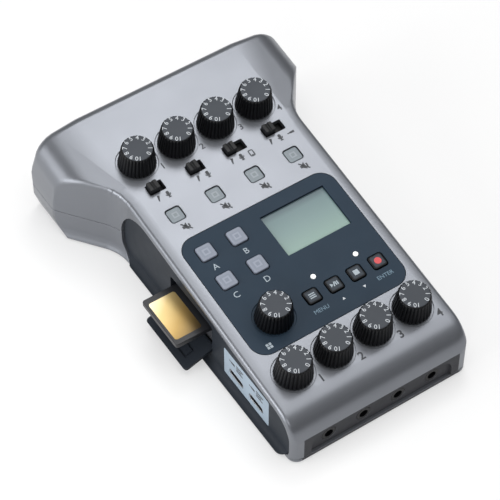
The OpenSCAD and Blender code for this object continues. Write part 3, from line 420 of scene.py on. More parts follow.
@dataclass(frozen=True)
class Deck:
    """The sloping top plane: u across, v up the slope, w square to it, all in millimetres."""

    height: float = 32.2
    tilt: float = 6.5

    def at(self, u: Number, v: Number, w: Number) -> Array:
        """Points of the case frame, in metres, for deck places.

        Args:
            u: Places across the deck.
            v: Places along the deck.
            w: Heights over the deck.

        Returns:
            Array with a last axis of three.
        """
        u, v, w = np.broadcast_arrays(np.asarray(u, float), np.asarray(v, float), np.asarray(w, float))
        c, s = math.cos(math.radians(self.tilt)), math.sin(math.radians(self.tilt))
        return np.stack([u, v * c - w * s, self.height + v * s + w * c], -1) * MM

    def lay(self, points: Array) -> Array:
        """Case places of an array of deck places with a last axis of three."""
        return self.at(points[..., 0], points[..., 1], points[..., 2])


DECK = Deck()


@dataclass
class Shape:
    """Corners and faces of a mesh under work."""

    points: Array
    faces: list[Face]
    ring: Array | None = None

    @classmethod
    def empty(cls) -> "Shape":
        """A shape with nothing in it yet."""
        return cls(np.zeros((0, 3)), [])

    def joined(self, other: "Shape") -> "Shape":
        """Puts this shape and another one together.

        Args:
            other: The shape that comes after this one.

        Returns:
            Both as a single shape.
        """
        step = len(self.points)
        faces = self.faces + [tuple(k + step for k in face) for face in other.faces]
        return Shape(np.concatenate([self.points, other.points]), faces)

    def moved(self, u: float, v: float, turn: float = 0.0, size: float = 1.0) -> "Shape":
        """Scales, turns and moves a copy in its own plane.

        Args:
            u: Move along the plane's first axis.
            v: Move along its second axis.
            turn: Turn in degrees, counter-clockwise.
            size: Scale in the plane.

        Returns:
            The copy.
        """
        c, s = math.cos(math.radians(turn)) * size, math.sin(math.radians(turn)) * size
        x, y, z = self.points.T
        return Shape(np.stack([u + c * x - s * y, v + s * x + c * y, z], -1), self.faces)


def grid(points: Array) -> Shape:
    """Quads over a grid of points, rows along the profile and columns around it, with a cap on each end row.

    Args:
        points: Array of rows, columns and three.

    Returns:
        The shape, faces outwards where the columns run counter-clockwise and the rows upwards.
    """
    rows, columns = points.shape[:2]
    left = np.arange(rows * columns).reshape(rows, columns)
    right = np.roll(left, -1, 1)
    quads = np.stack([left[:-1], right[:-1], right[1:], left[1:]], -1).reshape(-1, 4)
    caps = [tuple(left[0, ::-1].tolist()), tuple(left[-1].tolist())]
    return Shape(points.reshape(-1, 3), [tuple(quad) for quad in quads.tolist()] + caps)


def prism(outline: Array, low: float, high: float) -> Shape:
    """Gives a flat outline thickness: the same x and y at two heights.

    Args:
        outline: Places of x and y, counter-clockwise.
        low: Height of the lower face.
        high: Height of the upper face.

    Returns:
        The closed shape.
    """
    return grid(np.stack([np.column_stack([outline, np.full(len(outline), z)]) for z in (low, high)]))


def squircle(half_x: float, half_y: float, corner: float, steps: int = 6) -> Array:
    """A rectangle with round corners: a quarter arc about the centre of each corner.

    Args:
        half_x: Half of its width.
        half_y: Half of its length.
        corner: Radius of the corners.
        steps: Parts of each quarter arc.

    Returns:
        Places of x and y, counter-clockwise.
    """
    turn = np.linspace(0, 0.5 * math.pi, steps + 1)
    signs = ((1, 1), (-1, 1), (-1, -1), (1, -1))
    arcs = [np.column_stack([sx * (half_x - corner) + corner * np.cos(turn + k * math.pi / 2),
                             sy * (half_y - corner) + corner * np.sin(turn + k * math.pi / 2)])
            for k, (sx, sy) in enumerate(signs)]
    return np.concatenate(arcs)


def stacked(u: float, v: float, layers: Sequence[tuple[float, float, float, float]]) -> Array:
    """Rounded rectangles stacked over one place of the deck.

    Args:
        u: Their middle across the deck.
        v: Their middle along the deck.
        layers: Half width, half length, corner radius and height of each, from the lowest.

    Returns:
        Grid of layers, places around them and three, in metres.
    """
    edges = [(squircle(half_u, half_v, corner), w) for half_u, half_v, corner, w in layers]
    return np.stack([DECK.at(u + edge[:, 0], v + edge[:, 1], w) for edge, w in edges])


def ribbon(path: Array, width: Number) -> Array:
    """Outline of a stroke: the path moved half the width to each side, square to its own direction.

    Args:
        path: Places of x and y along the stroke.
        width: Width of the stroke, one for all places or one for each.

    Returns:
        Places of x and y around the stroke.
    """
    way = np.gradient(path, axis=0)
    way /= np.linalg.norm(way, axis=1, keepdims=True)
    half = np.broadcast_to(width, len(path))[:, None] / 2
    side = np.column_stack([-way[:, 1], way[:, 0]]) * half
    return np.concatenate([path - side, (path + side)[::-1]])


def arc(cx: float, cy: float, r: float, start: float, end: float, steps: int = 16) -> Array:
    """Arc of a circle: the cosine and sine of evenly spaced angles, times the radius.

    Args:
        cx: Centre in x.
        cy: Centre in y.
        r: Radius.
        start: First angle in degrees.
        end: Last angle in degrees.
        steps: How many places.

    Returns:
        Places of x and y.
    """
    turn = np.radians(np.linspace(start, end, steps))
    return np.column_stack([cx + r * np.cos(turn), cy + r * np.sin(turn)])


@dataclass
class Pieces:
    """Puts finished meshes into the scene and hands them to their bodies.

    In the copy of a node, corners within weld become one, faces that turn less than flat_angle become one,
    and edges over hard_angle are rounded.
    """

    made: list[str] = field(default_factory=list)
    weld: float = 0.001
    flat_angle: float = 0.2
    hard_angle: float = 32.0
    rounding_steps: int = 2

    def place(self, name: str, shape: Shape, finish: Finish, body: str, slot: str,
              replaces: Sequence[str] = (), sharp: float = 35.0) -> bpy.types.Object:
        """Makes one object of a shape given in metres.

        Args:
            name: Name of the piece.
            shape: Its corners and faces.
            finish: Its surface.
            body: The body that it moves with.
            slot: The record's material slot; not used.
            replaces: Nodes that it stands for.
            sharp: Edges over this angle, in degrees, stay sharp.

        Returns:
            The new object.
        """
        mesh = bpy.data.meshes.new(name)
        mesh.from_pydata(shape.points.tolist(), [], shape.faces)
        if shape.ring is not None:
            ring = mesh.attributes.new("ring", "FLOAT", "POINT")
            ring.data.foreach_set("value", shape.ring.astype(np.float32))
        self.smooth(mesh, sharp)
        return self.settle(name, mesh, finish, body, replaces)

    def smooth(self, mesh: bpy.types.Mesh, sharp: float) -> None:
        """Shades all faces smooth, apart from edges over an angle in degrees."""
        mesh.polygons.foreach_set("use_smooth", np.ones(len(mesh.polygons), bool))
        mesh.set_sharp_from_angle(angle=math.radians(sharp))

    def settle(self, name: str, mesh: bpy.types.Mesh, finish: Finish, body: str,
               replaces: Sequence[str]) -> bpy.types.Object:
        """Links a mesh as a piece, dresses it and rides it on its body.

        Args:
            name: Name of the piece.
            mesh: Its finished mesh.
            finish: Its surface.
            body: The body that it moves with.
            replaces: Nodes that it stands for.

        Returns:
            The new object.
        """
        mesh.materials.clear()
        mesh.materials.append(finish.material())
        piece = bpy.data.objects.new(name, mesh)
        bpy.context.scene.collection.objects.link(piece)
        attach(piece, body)
        if replaces:
            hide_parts(*replaces)
        self.made.append(name)
        LOG.info("piece %s on %s", name, body)
        return piece

    def softened(self, node: str, finish: Finish, body: str, slot: str, width: float) -> bpy.types.Object:
        """A merged copy of a node with its hard edges rounded.

        Args:
            node: The node that the copy stands for.
            finish: Its surface.
            body: The body that it moves with.
            slot: The record's material slot; not used.
            width: Width of the rounding in millimetres.

        Returns:
            The new object.
        """
        work = bmesh.new()
        work.from_mesh(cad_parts[node].data)
        bmesh.ops.remove_doubles(work, verts=work.verts, dist=self.weld * MM)
        bmesh.ops.dissolve_limit(work, angle_limit=math.radians(self.flat_angle), verts=work.verts,
                                 edges=work.edges)
        mesh = bpy.data.meshes.new(node + "_shell")
        work.to_mesh(mesh)
        work.free()
        self.smooth(mesh, self.hard_angle)
        piece = self.settle(node + "_shell", mesh, finish, body, (node,))
        round_off = piece.modifiers.new("edges", "BEVEL")
        round_off.width = width * MM
        round_off.segments = self.rounding_steps
        round_off.limit_method = "ANGLE"
        round_off.angle_limit = math.radians(self.hard_angle)
        even = piece.modifiers.new("normals", "WEIGHTED_NORMAL")
        even.keep_sharp = True
        return piece


@dataclass
class Glyphs:
    """Printed letters and signs as thin closed sheets, the letters worked out once each.

    A sheet stands thickness over its surface and reaches sunk into it. The signs' strokes are as wide as
    line, and font_share is the font's size over the height of its capitals.
    """

    thickness: float = 0.02
    sunk: float = 0.03
    line: float = 0.42
    font_share: float = 1.38
    curve_steps: int = 3
    known: dict[tuple[str, float, float], Shape] = field(default_factory=dict)

    def text(self, words: str, size: float, bold: float = 0.0) -> Shape:
        """Letters centred on the origin.

        Args:
            words: What is written.
            size: Height of the capitals.
            bold: How far the strokes grow on each side, in millimetres.

        Returns:
            The letters as closed sheets, in millimetres.
        """
        if (words, size, bold) in self.known:
            return self.known[words, size, bold]
        curve = bpy.data.curves.new("letters", "FONT")
        curve.body = words
        curve.size = size * self.font_share
        curve.offset = bold
        curve.extrude = (self.thickness + self.sunk) / 2
        curve.resolution_u = self.curve_steps
        curve.align_x = "CENTER"
        writer = bpy.data.objects.new("letters", curve)
        bpy.context.scene.collection.objects.link(writer)
        bpy.context.view_layer.update()
        mesh = writer.to_mesh()
        points = np.zeros(len(mesh.vertices) * 3, np.float32)
        mesh.vertices.foreach_get("co", points)
        points = points.reshape(-1, 3).astype(float)
        middle = (points.min(0) + points.max(0)) / 2
        points -= [middle[0], middle[1], middle[2] - (self.thickness - self.sunk) / 2]
        faces = [tuple(p.vertices) for p in mesh.polygons]
        writer.to_mesh_clear()
        bpy.data.objects.remove(writer)
        bpy.data.curves.remove(curve)
        self.known[words, size, bold] = Shape(points, faces)
        return self.known[words, size, bold]

    def sheet(self, *outlines: Array) -> Shape:
        """Closed sheets of the ink's thickness.

        Args:
            outlines: Places of x and y around each sheet, in millimetres.

        Returns:
            All sheets as one shape, in millimetres.
        """
        whole = Shape.empty()
        for outline in outlines:
            whole = whole.joined(prism(outline, -self.sunk, self.thickness))
        return whole

    def sign(self, mark: Mark) -> Shape:
        """A printed sign, about two millimetres high, centred on the origin.

        Args:
            mark: Which sign.

        Returns:
            The sign as closed sheets, in millimetres.
        """
        def stroke(*path: Pair, width: float = self.line) -> Array:
            """Outline of a straight stroke."""
            return ribbon(np.array(path, float), width)

        def plate(*corners: Pair) -> Array:
            """Outline with straight sides."""
            return np.array(corners, float)

        handset = squircle(0.7, 1.1, 0.3)
        wand = np.array([[-0.35, -1.1], [0.3, 0.9]])
        signs: dict[Mark, list[Array]] = {
            Mark.MICROPHONE: [squircle(0.52, 0.82, 0.5) + [0, 0.45],
                              ribbon(arc(0, 0.3, 0.85, 190, 350), self.line * 0.8),
                              stroke((0, -0.5), (0, -1.0)), stroke((-0.5, -1.1), (0.5, -1.1))],
            Mark.WAND: [ribbon(wand, np.array([0.34, 0.85]))],
            Mark.HANDSET: [ribbon(np.concatenate([handset, handset[:2]]), self.line),
                           stroke((-0.3, -0.75), (0.3, -0.75))],
            Mark.PLUG: [squircle(0.5, 0.4, 0.1), stroke((-1.5, 0), (-0.4, 0)),
                        stroke((0.4, 0.22), (1.2, 0.22)), stroke((0.4, -0.22), (1.2, -0.22))],
            Mark.MUTE: [plate((-1.0, -0.4), (-0.45, -0.4), (0.35, -1.1), (0.35, 1.1), (-0.45, 0.4),
                              (-1.0, 0.4)),
                        stroke((0.8, -0.5), (0.8, 0.5)),
                        stroke((-0.95, 1.15), (1.05, -1.15), width=0.36)],
            Mark.UP: [plate((-0.65, -0.5), (0.65, -0.5), (0, 0.6))],
            Mark.DOWN: [plate((-0.65, 0.5), (0, -0.6), (0.65, 0.5))],
            Mark.BARS: [stroke((-1.15, y), (1.15, y)) for y in (-0.75, 0, 0.75)],
            Mark.PLAY: [plate((-1.5, -0.75), (-0.5, 0), (-1.5, 0.75)), stroke((-0.4, -0.8), (0.2, 0.8)),
                        stroke((0.55, -0.7), (0.55, 0.7)), stroke((1.2, -0.7), (1.2, 0.7))],
            Mark.STOP: [squircle(0.95, 0.95, 0.1)],
            Mark.RECORD: [arc(0, 0, 1.25, 0, 348, 30)],
            Mark.SQUARES: [squircle(0.5, 0.5, 0.08) + [x, y] for x in (-0.62, 0.62) for y in (-0.62, 0.62)],
        }
        return self.sheet(*signs[mark])


@dataclass
class Housing:
    """Painted covers and the dark panels let into them, from their nodes."""

    painted: tuple[str, ...] = ("top_cover", "bottom_cover")
    dark: tuple[str, ...] = ("side_panel_left", "side_panel_right", "rear_panel")
    edge: float = 0.25
    panel_edge: float = 0.12
    recess_half: float = 31.05
    recess_back: float = -76.65
    recess_top: float = 12.45

    def build(self, pieces: Pieces) -> None:
        """Softens the covers and panels.

        Args:
            pieces: Takes the finished pieces.
        """
        for node in self.painted:
            cover = pieces.softened(node, SILVER, CASE, "silver_shell", self.edge)
            self.paint_recess(cover.data)
        for node in self.dark:
            pieces.softened(node, GRAPHITE, CASE, "side_plastic", self.edge)
        pieces.softened("control_panel", SLATE, CASE, "slate_panel", self.panel_edge)

    def paint_recess(self, mesh: bpy.types.Mesh) -> None:
        """Gives the faces in the jacks' recess a darker paint, their painted shade: those before its back and
        under its top.

        Args:
            mesh: A cover's mesh.
        """
        middle = np.zeros(len(mesh.polygons) * 3)
        mesh.polygons.foreach_get("center", middle)
        x, y, z = middle.reshape(-1, 3).T / MM
        inside = (np.abs(x) < self.recess_half) & (y < self.recess_back) & (z < self.recess_top)
        # Darker grey on the recess faces: painted shade
        mesh.materials.append(RECESS_PAINTED_SHADE.material())
        mesh.polygons.foreach_set("material_index", inside.astype(np.int32))


@dataclass
class Knob:
    """A fluted knob: tapered skirt, grey top and a ring of numbers.

    A row of the skirt's profile is a radius, a height and a depth of the flutes, and one of the top's
    profile is a radius and a height.
    """

    node: str
    u: float
    v: float
    underside: tuple[Triple, ...] = ((5.0, 2.0, 0.0), (5.0, -0.2, 0.0), (6.9, -0.2, 0.0), (7.25, -0.1, 0.15))
    foot: Triple = (7.4, 0.15, 0.42)
    head: Triple = (6.3, 8.7, 0.42)
    taper_rows: int = 8
    shoulder: tuple[Triple, ...] = ((6.2, 8.9, 0.4), (6.05, 9.1, 0.25), (5.85, 9.25, 0.05), (5.6, 9.32, 0.0))
    dish: tuple[Pair, ...] = ((5.62, 9.2), (5.68, 9.35), (5.66, 9.48), (5.55, 9.57), (5.35, 9.6), (4.0, 9.6),
                              (2.0, 9.58), (0.6, 9.57))
    top: float = 9.6
    flutes: int = 30
    flute_columns: int = 10
    flute_pinch: float = 2.4
    crease: float = 50.0
    digits: int = 11
    rear_digit: int = 5
    digit_step: float = 30.0
    digit_r: float = 4.75
    digit_size: float = 1.85

    def surface(self, r: Array, w: Array, depth: Array) -> Array:
        """Radius r at height w around the axis, less depth times a narrow wave with one trough per flute.

        Args:
            r: Radius of each row.
            w: Height of each row.
            depth: Depth of the flutes in each row.

        Returns:
            Grid of rows, places around the axis and three, in metres.
        """
        turn = np.linspace(0, 2 * math.pi, self.flutes * self.flute_columns, endpoint=False)
        wave = (0.5 - 0.5 * np.cos(self.flutes * turn)) ** self.flute_pinch
        radius = r[:, None] - depth[:, None] * wave[None, :]
        return DECK.at(self.u + radius * np.cos(turn), self.v + radius * np.sin(turn), w[:, None])

    def skirt(self) -> Shape:
        """Profile from the hollow underside, out to the rim, evenly up the taper and over the shoulder.

        Returns:
            The skirt, in metres.
        """
        taper = np.linspace(self.foot, self.head, self.taper_rows)
        return grid(self.surface(*np.concatenate([self.underside, taper, self.shoulder]).T))

    def cap(self) -> Shape:
        """Turned top: a disc with a rounded rim, slightly dished in the middle."""
        r, w = np.array(self.dish).T
        return grid(self.surface(r, w, np.zeros_like(r)))

    def numbers(self, glyphs: Glyphs) -> Shape:
        """Numbers from 0, evenly around the top, their heads outwards.

        Args:
            glyphs: Draws the digits.

        Returns:
            The ring of numbers, in metres.
        """
        whole = Shape.empty()
        for n in range(self.digits):
            turn = (n - self.rear_digit) * self.digit_step
            u = self.u - self.digit_r * math.sin(math.radians(turn))
            v = self.v + self.digit_r * math.cos(math.radians(turn))
            whole = whole.joined(glyphs.text(str(n), self.digit_size).moved(u, v, turn))
        whole.points = DECK.lay(whole.points + [0, 0, self.top])
        return whole

    def build(self, pieces: Pieces, glyphs: Glyphs) -> None:
        """Makes the skirt, the top and the numbers.

        Args:
            pieces: Takes the finished pieces.
            glyphs: Draws the digits.
        """
        body, slot, ink = self.node, "knob_plastic", Ink.WHITE.finish()
        pieces.place(self.node + "_skirt", self.skirt(), BLACK, body, slot, (self.node,), self.crease)
        pieces.place(self.node + "_top", self.cap(), KNOB_TOP, body, slot, (), self.crease)
        pieces.place(self.node + "_numbers", self.numbers(glyphs), ink, body, slot)


@dataclass(frozen=True)
class KeyKind:
    """What keys of one kind share: side and height of the cap, its surface and its material slot."""

    side: float
    proud: float
    finish: RampFinish
    slot: str


MUTE_KEY = KeyKind(5.9, -0.2, MUTE, "clear_key")
SOUND_PAD = KeyKind(6.6, 0.7, PAD, "clear_key")
MENU_KEY = KeyKind(5.9, 0.5, KEY, "dark_key")


@dataclass
class SoftKey:
    """A square key cap with rounded corners and a crowned top, on its own springs.

    A row of the crown is how far it lies outside the wall and above the top.
    """

    node: str
    u: float
    v: float
    kind: KeyKind
    mark: Mark | None = None
    corner: float = 1.0
    least_corner: float = 0.1
    corner_pull: float = 0.6
    low: float = -2.5
    flange: float = 1.1
    flange_depth: float = 0.9
    wall_w: float = -0.6
    crown: tuple[Pair, ...] = ((0.0, -0.4), (-0.1, -0.15), (-0.35, -0.03), (-0.8, 0.0), (-1.3, 0.0),
                               (-1.8, 0.0), (-2.3, 0.0))
    middle: float = 0.12
    crease: float = 60.0
    sign_size: float = 1.12

    def cap(self) -> Shape:
        """Rounded squares stacked from the hidden flange up the wall and over the crowned top.

        The ring value is 1 on the wall and falls to 0 at the middle of the top.

        Returns:
            The cap, in metres.
        """
        half, proud = self.kind.side / 2, self.kind.proud
        foot = [(self.flange, self.low - self.flange_depth), (self.flange, self.low), (0.0, self.low),
                (0.0, self.wall_w)]
        crown = [(out, proud + rise) for out, rise in self.crown]
        rows = foot + crown + [(self.middle - half, proud)]
        layers = []
        for out, w in rows:
            corner = max(self.corner + min(out, 0) * self.corner_pull, self.least_corner)
            layers.append((half + out, half + out, min(corner, half + out), w))
        points = stacked(self.u, self.v, layers)
        shape = grid(points)
        ring = np.clip(1 + np.minimum([out for out, w in rows], 0) / half, 0, 1)
        shape.ring = np.repeat(ring, points.shape[1])
        return shape

    def build(self, pieces: Pieces, glyphs: Glyphs) -> None:
        """Makes the cap and the sign on it.

        Args:
            pieces: Takes the finished pieces.
            glyphs: Draws the sign.
        """
        body, slot = self.node, self.kind.slot
        pieces.place(self.node + "_cap", self.cap(), self.kind.finish, body, slot, (self.node,), self.crease)
        if self.mark:
            sign = glyphs.sign(self.mark).moved(self.u, self.v, 0.0, self.sign_size)
            sign.points = DECK.lay(sign.points + [0, 0, self.kind.proud])
            ink = Ink.RED if self.mark is Mark.RECORD else Ink.PALE
            pieces.place(self.node + "_sign", sign, ink.finish(), body, slot)


@dataclass
class ControlDeck:
    """All knobs and keys of the sloping deck, in rows."""

    pitch: float = 17.5
    phones_pitch: float = 17.3
    gain_v: float = 46.5
    phones_v: float = -58.6
    mute_v: float = 19.5
    pad_u: float = -25.5
    pad_v: float = -0.4
    pad_step: Pair = (13.4, 14.0)
    pad_knob: Pair = (-19.3, -36.1)
    key_u: float = -2.5
    key_step: float = 9.7
    key_v: float = -36.0
    key_marks: tuple[tuple[str, Mark], ...] = (("menu_key", Mark.BARS), ("play_key", Mark.PLAY),
                                               ("stop_key", Mark.STOP), ("record_key", Mark.RECORD))

    def channel(self, index: int) -> float:
        """Place of a channel across the deck, numbered from 0 on the left."""
        return (index - (CHANNELS - 1) / 2) * self.pitch

    def phones(self, index: int) -> float:
        """Place of a phones volume knob across the deck, numbered from 0 on the left."""
        return (index - (CHANNELS - 1) / 2) * self.phones_pitch

    def pad(self, index: int) -> Pair:
        """Place of a sound pad, numbered from 0 in two rows of two."""
        return self.pad_u + (index % 2) * self.pad_step[0], self.pad_v - (index // 2) * self.pad_step[1]

    def key(self, index: int) -> float:
        """Place of a menu key across the deck, numbered from 0 on the left."""
        return self.key_u + index * self.key_step

    def build(self, pieces: Pieces, glyphs: Glyphs) -> None:
        """Makes the knobs and keys in turn.

        Args:
            pieces: Takes the finished pieces.
            glyphs: Draws digits and signs.
        """
        parts: list[Knob | SoftKey] = []
        for i in range(CHANNELS):
            parts += [Knob(f"gain_knob_{i + 1}", self.channel(i), self.gain_v),
                      Knob(f"phones_knob_{i + 1}", self.phones(i), self.phones_v),
                      SoftKey(f"mute_key_{i + 1}", self.channel(i), self.mute_v, MUTE_KEY),
                      SoftKey("sound_pad_" + "abcd"[i], *self.pad(i), SOUND_PAD)]
        parts.append(Knob("pad_knob", *self.pad_knob))
        for i, (node, mark) in enumerate(self.key_marks):
            parts.append(SoftKey(node, self.key(i), self.key_v, MENU_KEY, mark))
        for part in parts:
            part.build(pieces, glyphs)


@dataclass(frozen=True)
class Print:
    """How a mark is printed: its colour, how far it lies from what it belongs to, its size and boldness."""

    ink: Ink
    du: float
    dv: float
    size: float = 1.0
    bold: float = 0.0


@dataclass
class Printing:
    """Dark numbers and signs on the paint, pale ones on the panel: a sheet of each ink on the deck."""

    deck: ControlDeck
    glyphs: Glyphs
    gain_number: Print = Print(Ink.DARK, 7.5, -6.2, 2.7, 0.06)
    phones_number: Print = Print(Ink.DARK, 7.4, -7.0, 3.3, 0.1)
    mute_sign: Print = Print(Ink.DARK, 0.7, -6.5, 1.6)
    switch_v: float = 28.4
    two_way_shift: float = -1.5
    three_way_shift: float = -3.9
    two_way_switches: int = 2
    wand: Print = Print(Ink.DARK, 0.0, 0.3, 1.25)
    microphone: Print = Print(Ink.DARK, 4.1, 0.1, 1.2)
    handset: Print = Print(Ink.DARK, 4.4, -0.3, 1.2)
    plug: Print = Print(Ink.DARK, 5.1, 0.0, 1.1)
    pad_letter: Print = Print(Ink.PALE, -0.2, -6.8, 2.6)
    pad_knob_sign: Print = Print(Ink.PALE, -8.0, -9.1)
    under_keys: tuple[tuple[str | Mark, Print], ...] = (
        ("MENU", Print(Ink.BLUE, -0.1, -6.3, 1.7)), (Mark.UP, Print(Ink.WHITE, -0.3, -6.6)),
        (Mark.DOWN, Print(Ink.WHITE, -0.5, -6.4)), ("ENTER", Print(Ink.BLUE, -0.9, -6.3, 1.7)))
    slots: tuple[tuple[Ink, str], ...] = ((Ink.DARK, "silver_shell"), (Ink.WHITE, "slate_panel"),
                                          (Ink.PALE, "slate_panel"), (Ink.BLUE, "slate_panel"))
    laid: dict[Ink, Shape] = field(default_factory=dict)

    def stamp(self, what: str | Mark, how: Print, u: float, v: float) -> None:
        """Adds one mark to the sheet of its ink.

        Args:
            what: The words or the sign.
            how: Its ink, shift and size.
            u: Place across the deck of what it belongs to.
            v: Place along the deck of what it belongs to.
        """
        if isinstance(what, Mark):
            shape = self.glyphs.sign(what).moved(u + how.du, v + how.dv, 0.0, how.size)
        else:
            shape = self.glyphs.text(what, how.size, how.bold).moved(u + how.du, v + how.dv)
        self.laid[how.ink] = self.laid.get(how.ink, Shape.empty()).joined(shape)

    def build(self, pieces: Pieces) -> None:
        """Prints the marks of channels, pads and keys, and lays each ink's sheet on the deck.

        Args:
            pieces: Takes the finished pieces.
        """
        deck = self.deck
        for i in range(CHANNELS):
            u = deck.channel(i)
            switch_u = u + (self.two_way_shift if i < self.two_way_switches else self.three_way_shift)
            self.stamp(str(i + 1), self.gain_number, u, deck.gain_v)
            self.stamp(str(i + 1), self.phones_number, deck.phones(i), deck.phones_v)
            self.stamp(Mark.MUTE, self.mute_sign, u, deck.mute_v)
            self.stamp(Mark.WAND, self.wand, switch_u, self.switch_v)
            self.stamp(Mark.MICROPHONE, self.microphone, switch_u, self.switch_v)
        self.stamp(Mark.HANDSET, self.handset, deck.channel(2), self.switch_v)
        self.stamp(Mark.PLUG, self.plug, deck.channel(3), self.switch_v)
        for i, letter in enumerate("ABCD"):
            self.stamp(letter, self.pad_letter, *deck.pad(i))
        for i, (what, how) in enumerate(self.under_keys):
            self.stamp(what, how, deck.key(i), deck.key_v)
        self.stamp(Mark.SQUARES, self.pad_knob_sign, *deck.pad_knob)
        for ink, slot in self.slots:
            sheet = self.laid[ink]
            sheet.points = DECK.lay(sheet.points)
            pieces.place(f"{ink.name.lower()}_printing", sheet, ink.finish(), CASE, slot)


@dataclass
class Screen:
    """Green grey screen behind its window.

    A row of the rim is how far it lies outside the window's edge and above its top.
    """

    u: float = 13.9
    v: float = -7.45
    half_u: float = 13.95
    half_v: float = 9.5
    top: float = -0.95
    corner: float = 0.5
    rim: tuple[Pair, ...] = ((0.0, -0.25), (0.0, -0.05), (-0.25, 0.0), (-0.9, 0.0))
    crease: float = 20.0

    def build(self, pieces: Pieces) -> None:
        """Makes the window as rounded rectangles stacked up a bevelled rim.

        Args:
            pieces: Takes the finished piece.
        """
        start = DECK.at(self.u, self.v - self.half_v, 0) / MM
        # The glass darkens towards the window's rear edge: painted shade
        glass = SlopedFinish("screen_polycarbonate_with_painted_shade", "#8fa6a2", 0.2, ior=1.3, grain_bump=0.0005, turn=90.0,
                             start=tuple(start), reach_mm=2 * self.half_v, stops=SCREEN_RUN_WITH_SHADE)
        layers = [(self.half_u + out, self.half_v + out, self.corner, self.top + rise)
                  for out, rise in self.rim]
        window = grid(stacked(self.u, self.v, layers))
        pieces.place("lcd_window_glass", window, glass, CASE, "screen_glass", ("lcd_window",), self.crease)


@dataclass
class Sides:
    """Card, door, sockets, switches and the pieces of the base, from their nodes.

    A row of the rounded nodes has the node, its surface, body, material slot and width of rounding.
    """

    rounded: tuple[tuple[str, Finish, str, str, float], ...] = (
        ("memory_card", CARD, "memory_card", "card_plastic", 0.2),
        ("card_door", GRAPHITE, "card_door", "side_plastic", 0.2),
        ("usb_plate", PLATE, CASE, "label_plate", 0.08),
        ("usb_sockets", STEEL, CASE, "steel", 0.08),
        ("phones_jacks", BLACK, CASE, "black_plastic", 0.15),
        ("phone_jack", BLACK, CASE, "black_plastic", 0.15),
        ("power_switch", BLACK, "power_switch", "black_plastic", 0.2),
        ("battery_cover", GRAPHITE, "battery_cover", "side_plastic", 0.2),
        ("rubber_feet", RUBBER, CASE, "rubber", 0.4),
    )
    channel_edge: float = 0.2
    label_low: Triple = (-50.6, -18.6, 17.6)
    label_high: Triple = (-39.2, 0.6, 17.68)
    label_corner: float = 1.0
    socket_y: Pair = (-53.2, -40.2)
    mark_z: float = 16.2
    plug_shift: float = -2.6
    plug_size: float = 1.35
    bar_lengths: Triple = (4.6, 3.4, 4.2)
    bar_half: float = 0.36
    bar_corner: float = 0.12
    bar_rise: float = 1.3
    bar_step: float = 1.25

    def build(self, pieces: Pieces, glyphs: Glyphs) -> None:
        """Softens the small nodes, lays the card's label and prints the socket plate.

        Args:
            pieces: Takes the finished pieces.
            glyphs: Draws the plate's signs.
        """
        for row in self.rounded:
            pieces.softened(*row)
        for i in range(CHANNELS):
            switch, socket = f"input_switch_{i + 1}", f"xlr_socket_{i + 1}"
            pieces.softened(switch, BLACK, switch, "black_plastic", self.channel_edge)
            pieces.softened(socket, BLACK, CASE, "black_plastic", self.channel_edge)
        self.card_label(pieces)
        self.plate_marks(pieces, glyphs)

    def card_label(self, pieces: Pieces) -> None:
        """A rounded sheet of foil on the card's upper face.

        Args:
            pieces: Takes the finished piece.
        """
        (x0, y0, z0), (x1, y1, z1) = self.label_low, self.label_high
        # The foil darkens from pale gold to brown across the label: painted reflection of the dark side panel
        gold = SlopedFinish("gold_foil_with_painted_reflection", "#c8b27c", 0.34, metallic=0.55, grain_bump=0.001, turn=-50.0,
                            start=(x0, y1, 0.0), reach_mm=21.0, stops=GOLD_RUN_WITH_REFLECTION)
        edge = squircle((x1 - x0) / 2, (y1 - y0) / 2, self.label_corner) + [(x0 + x1) / 2, (y0 + y1) / 2]
        sheet = prism(edge, z0, z1)
        sheet.points *= MM
        pieces.place("card_label", sheet, gold, "memory_card", "card_plastic")

    def plate_marks(self, pieces: Pieces, glyphs: Glyphs) -> None:
        """Plain dark bars and a plug sign over each socket, on the plate's outer face.

        Args:
            pieces: Takes the finished piece.
            glyphs: Draws the signs.
        """
        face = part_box("usb_plate")[0][0] / MM
        whole = Shape.empty()
        for y in self.socket_y:
            plug = glyphs.sign(Mark.PLUG)
            whole = whole.joined(plug.moved(self.plug_shift - y, self.mark_z, 0.0, self.plug_size))
            for row, length in enumerate(self.bar_lengths):
                bar = glyphs.sheet(squircle(length / 2, self.bar_half, self.bar_corner))
                z = self.mark_z + self.bar_rise - self.bar_step * row
                whole = whole.joined(bar.moved(length / 2 - y, z))
        a, b, w = whole.points.T
        whole.points = np.stack([face - w, -a, b], -1) * MM
        pieces.place("plate_printing", whole, Ink.DARK.finish(), CASE, "label_plate")

    def dress_inside(self) -> None:
        """Gives the hidden nodes, which keep their own meshes, their materials."""
        finishes = {
            "lcd_module": WELL, "light_pipes": LIGHT, "potentiometers": STEEL, "key_switches": WELL,
            "switch_bodies": WELL, "control_board": BOARD, "main_board": BOARD, "power_switch_body": WELL,
            "card_socket": STEEL, "battery_tray": GRAPHITE, "cells": CELL, "battery_contacts": STEEL,
            "case_screws": STEEL,
        }
        for node, finish in finishes.items():
            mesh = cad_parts[node].data
            mesh.materials.clear()
            mesh.materials.append(finish.material())


@dataclass(frozen=True)
class SoftBox:
    """A square lamp: its name, place, side and power in watts."""

    name: str
    place: Triple
    side: float
    watts: float


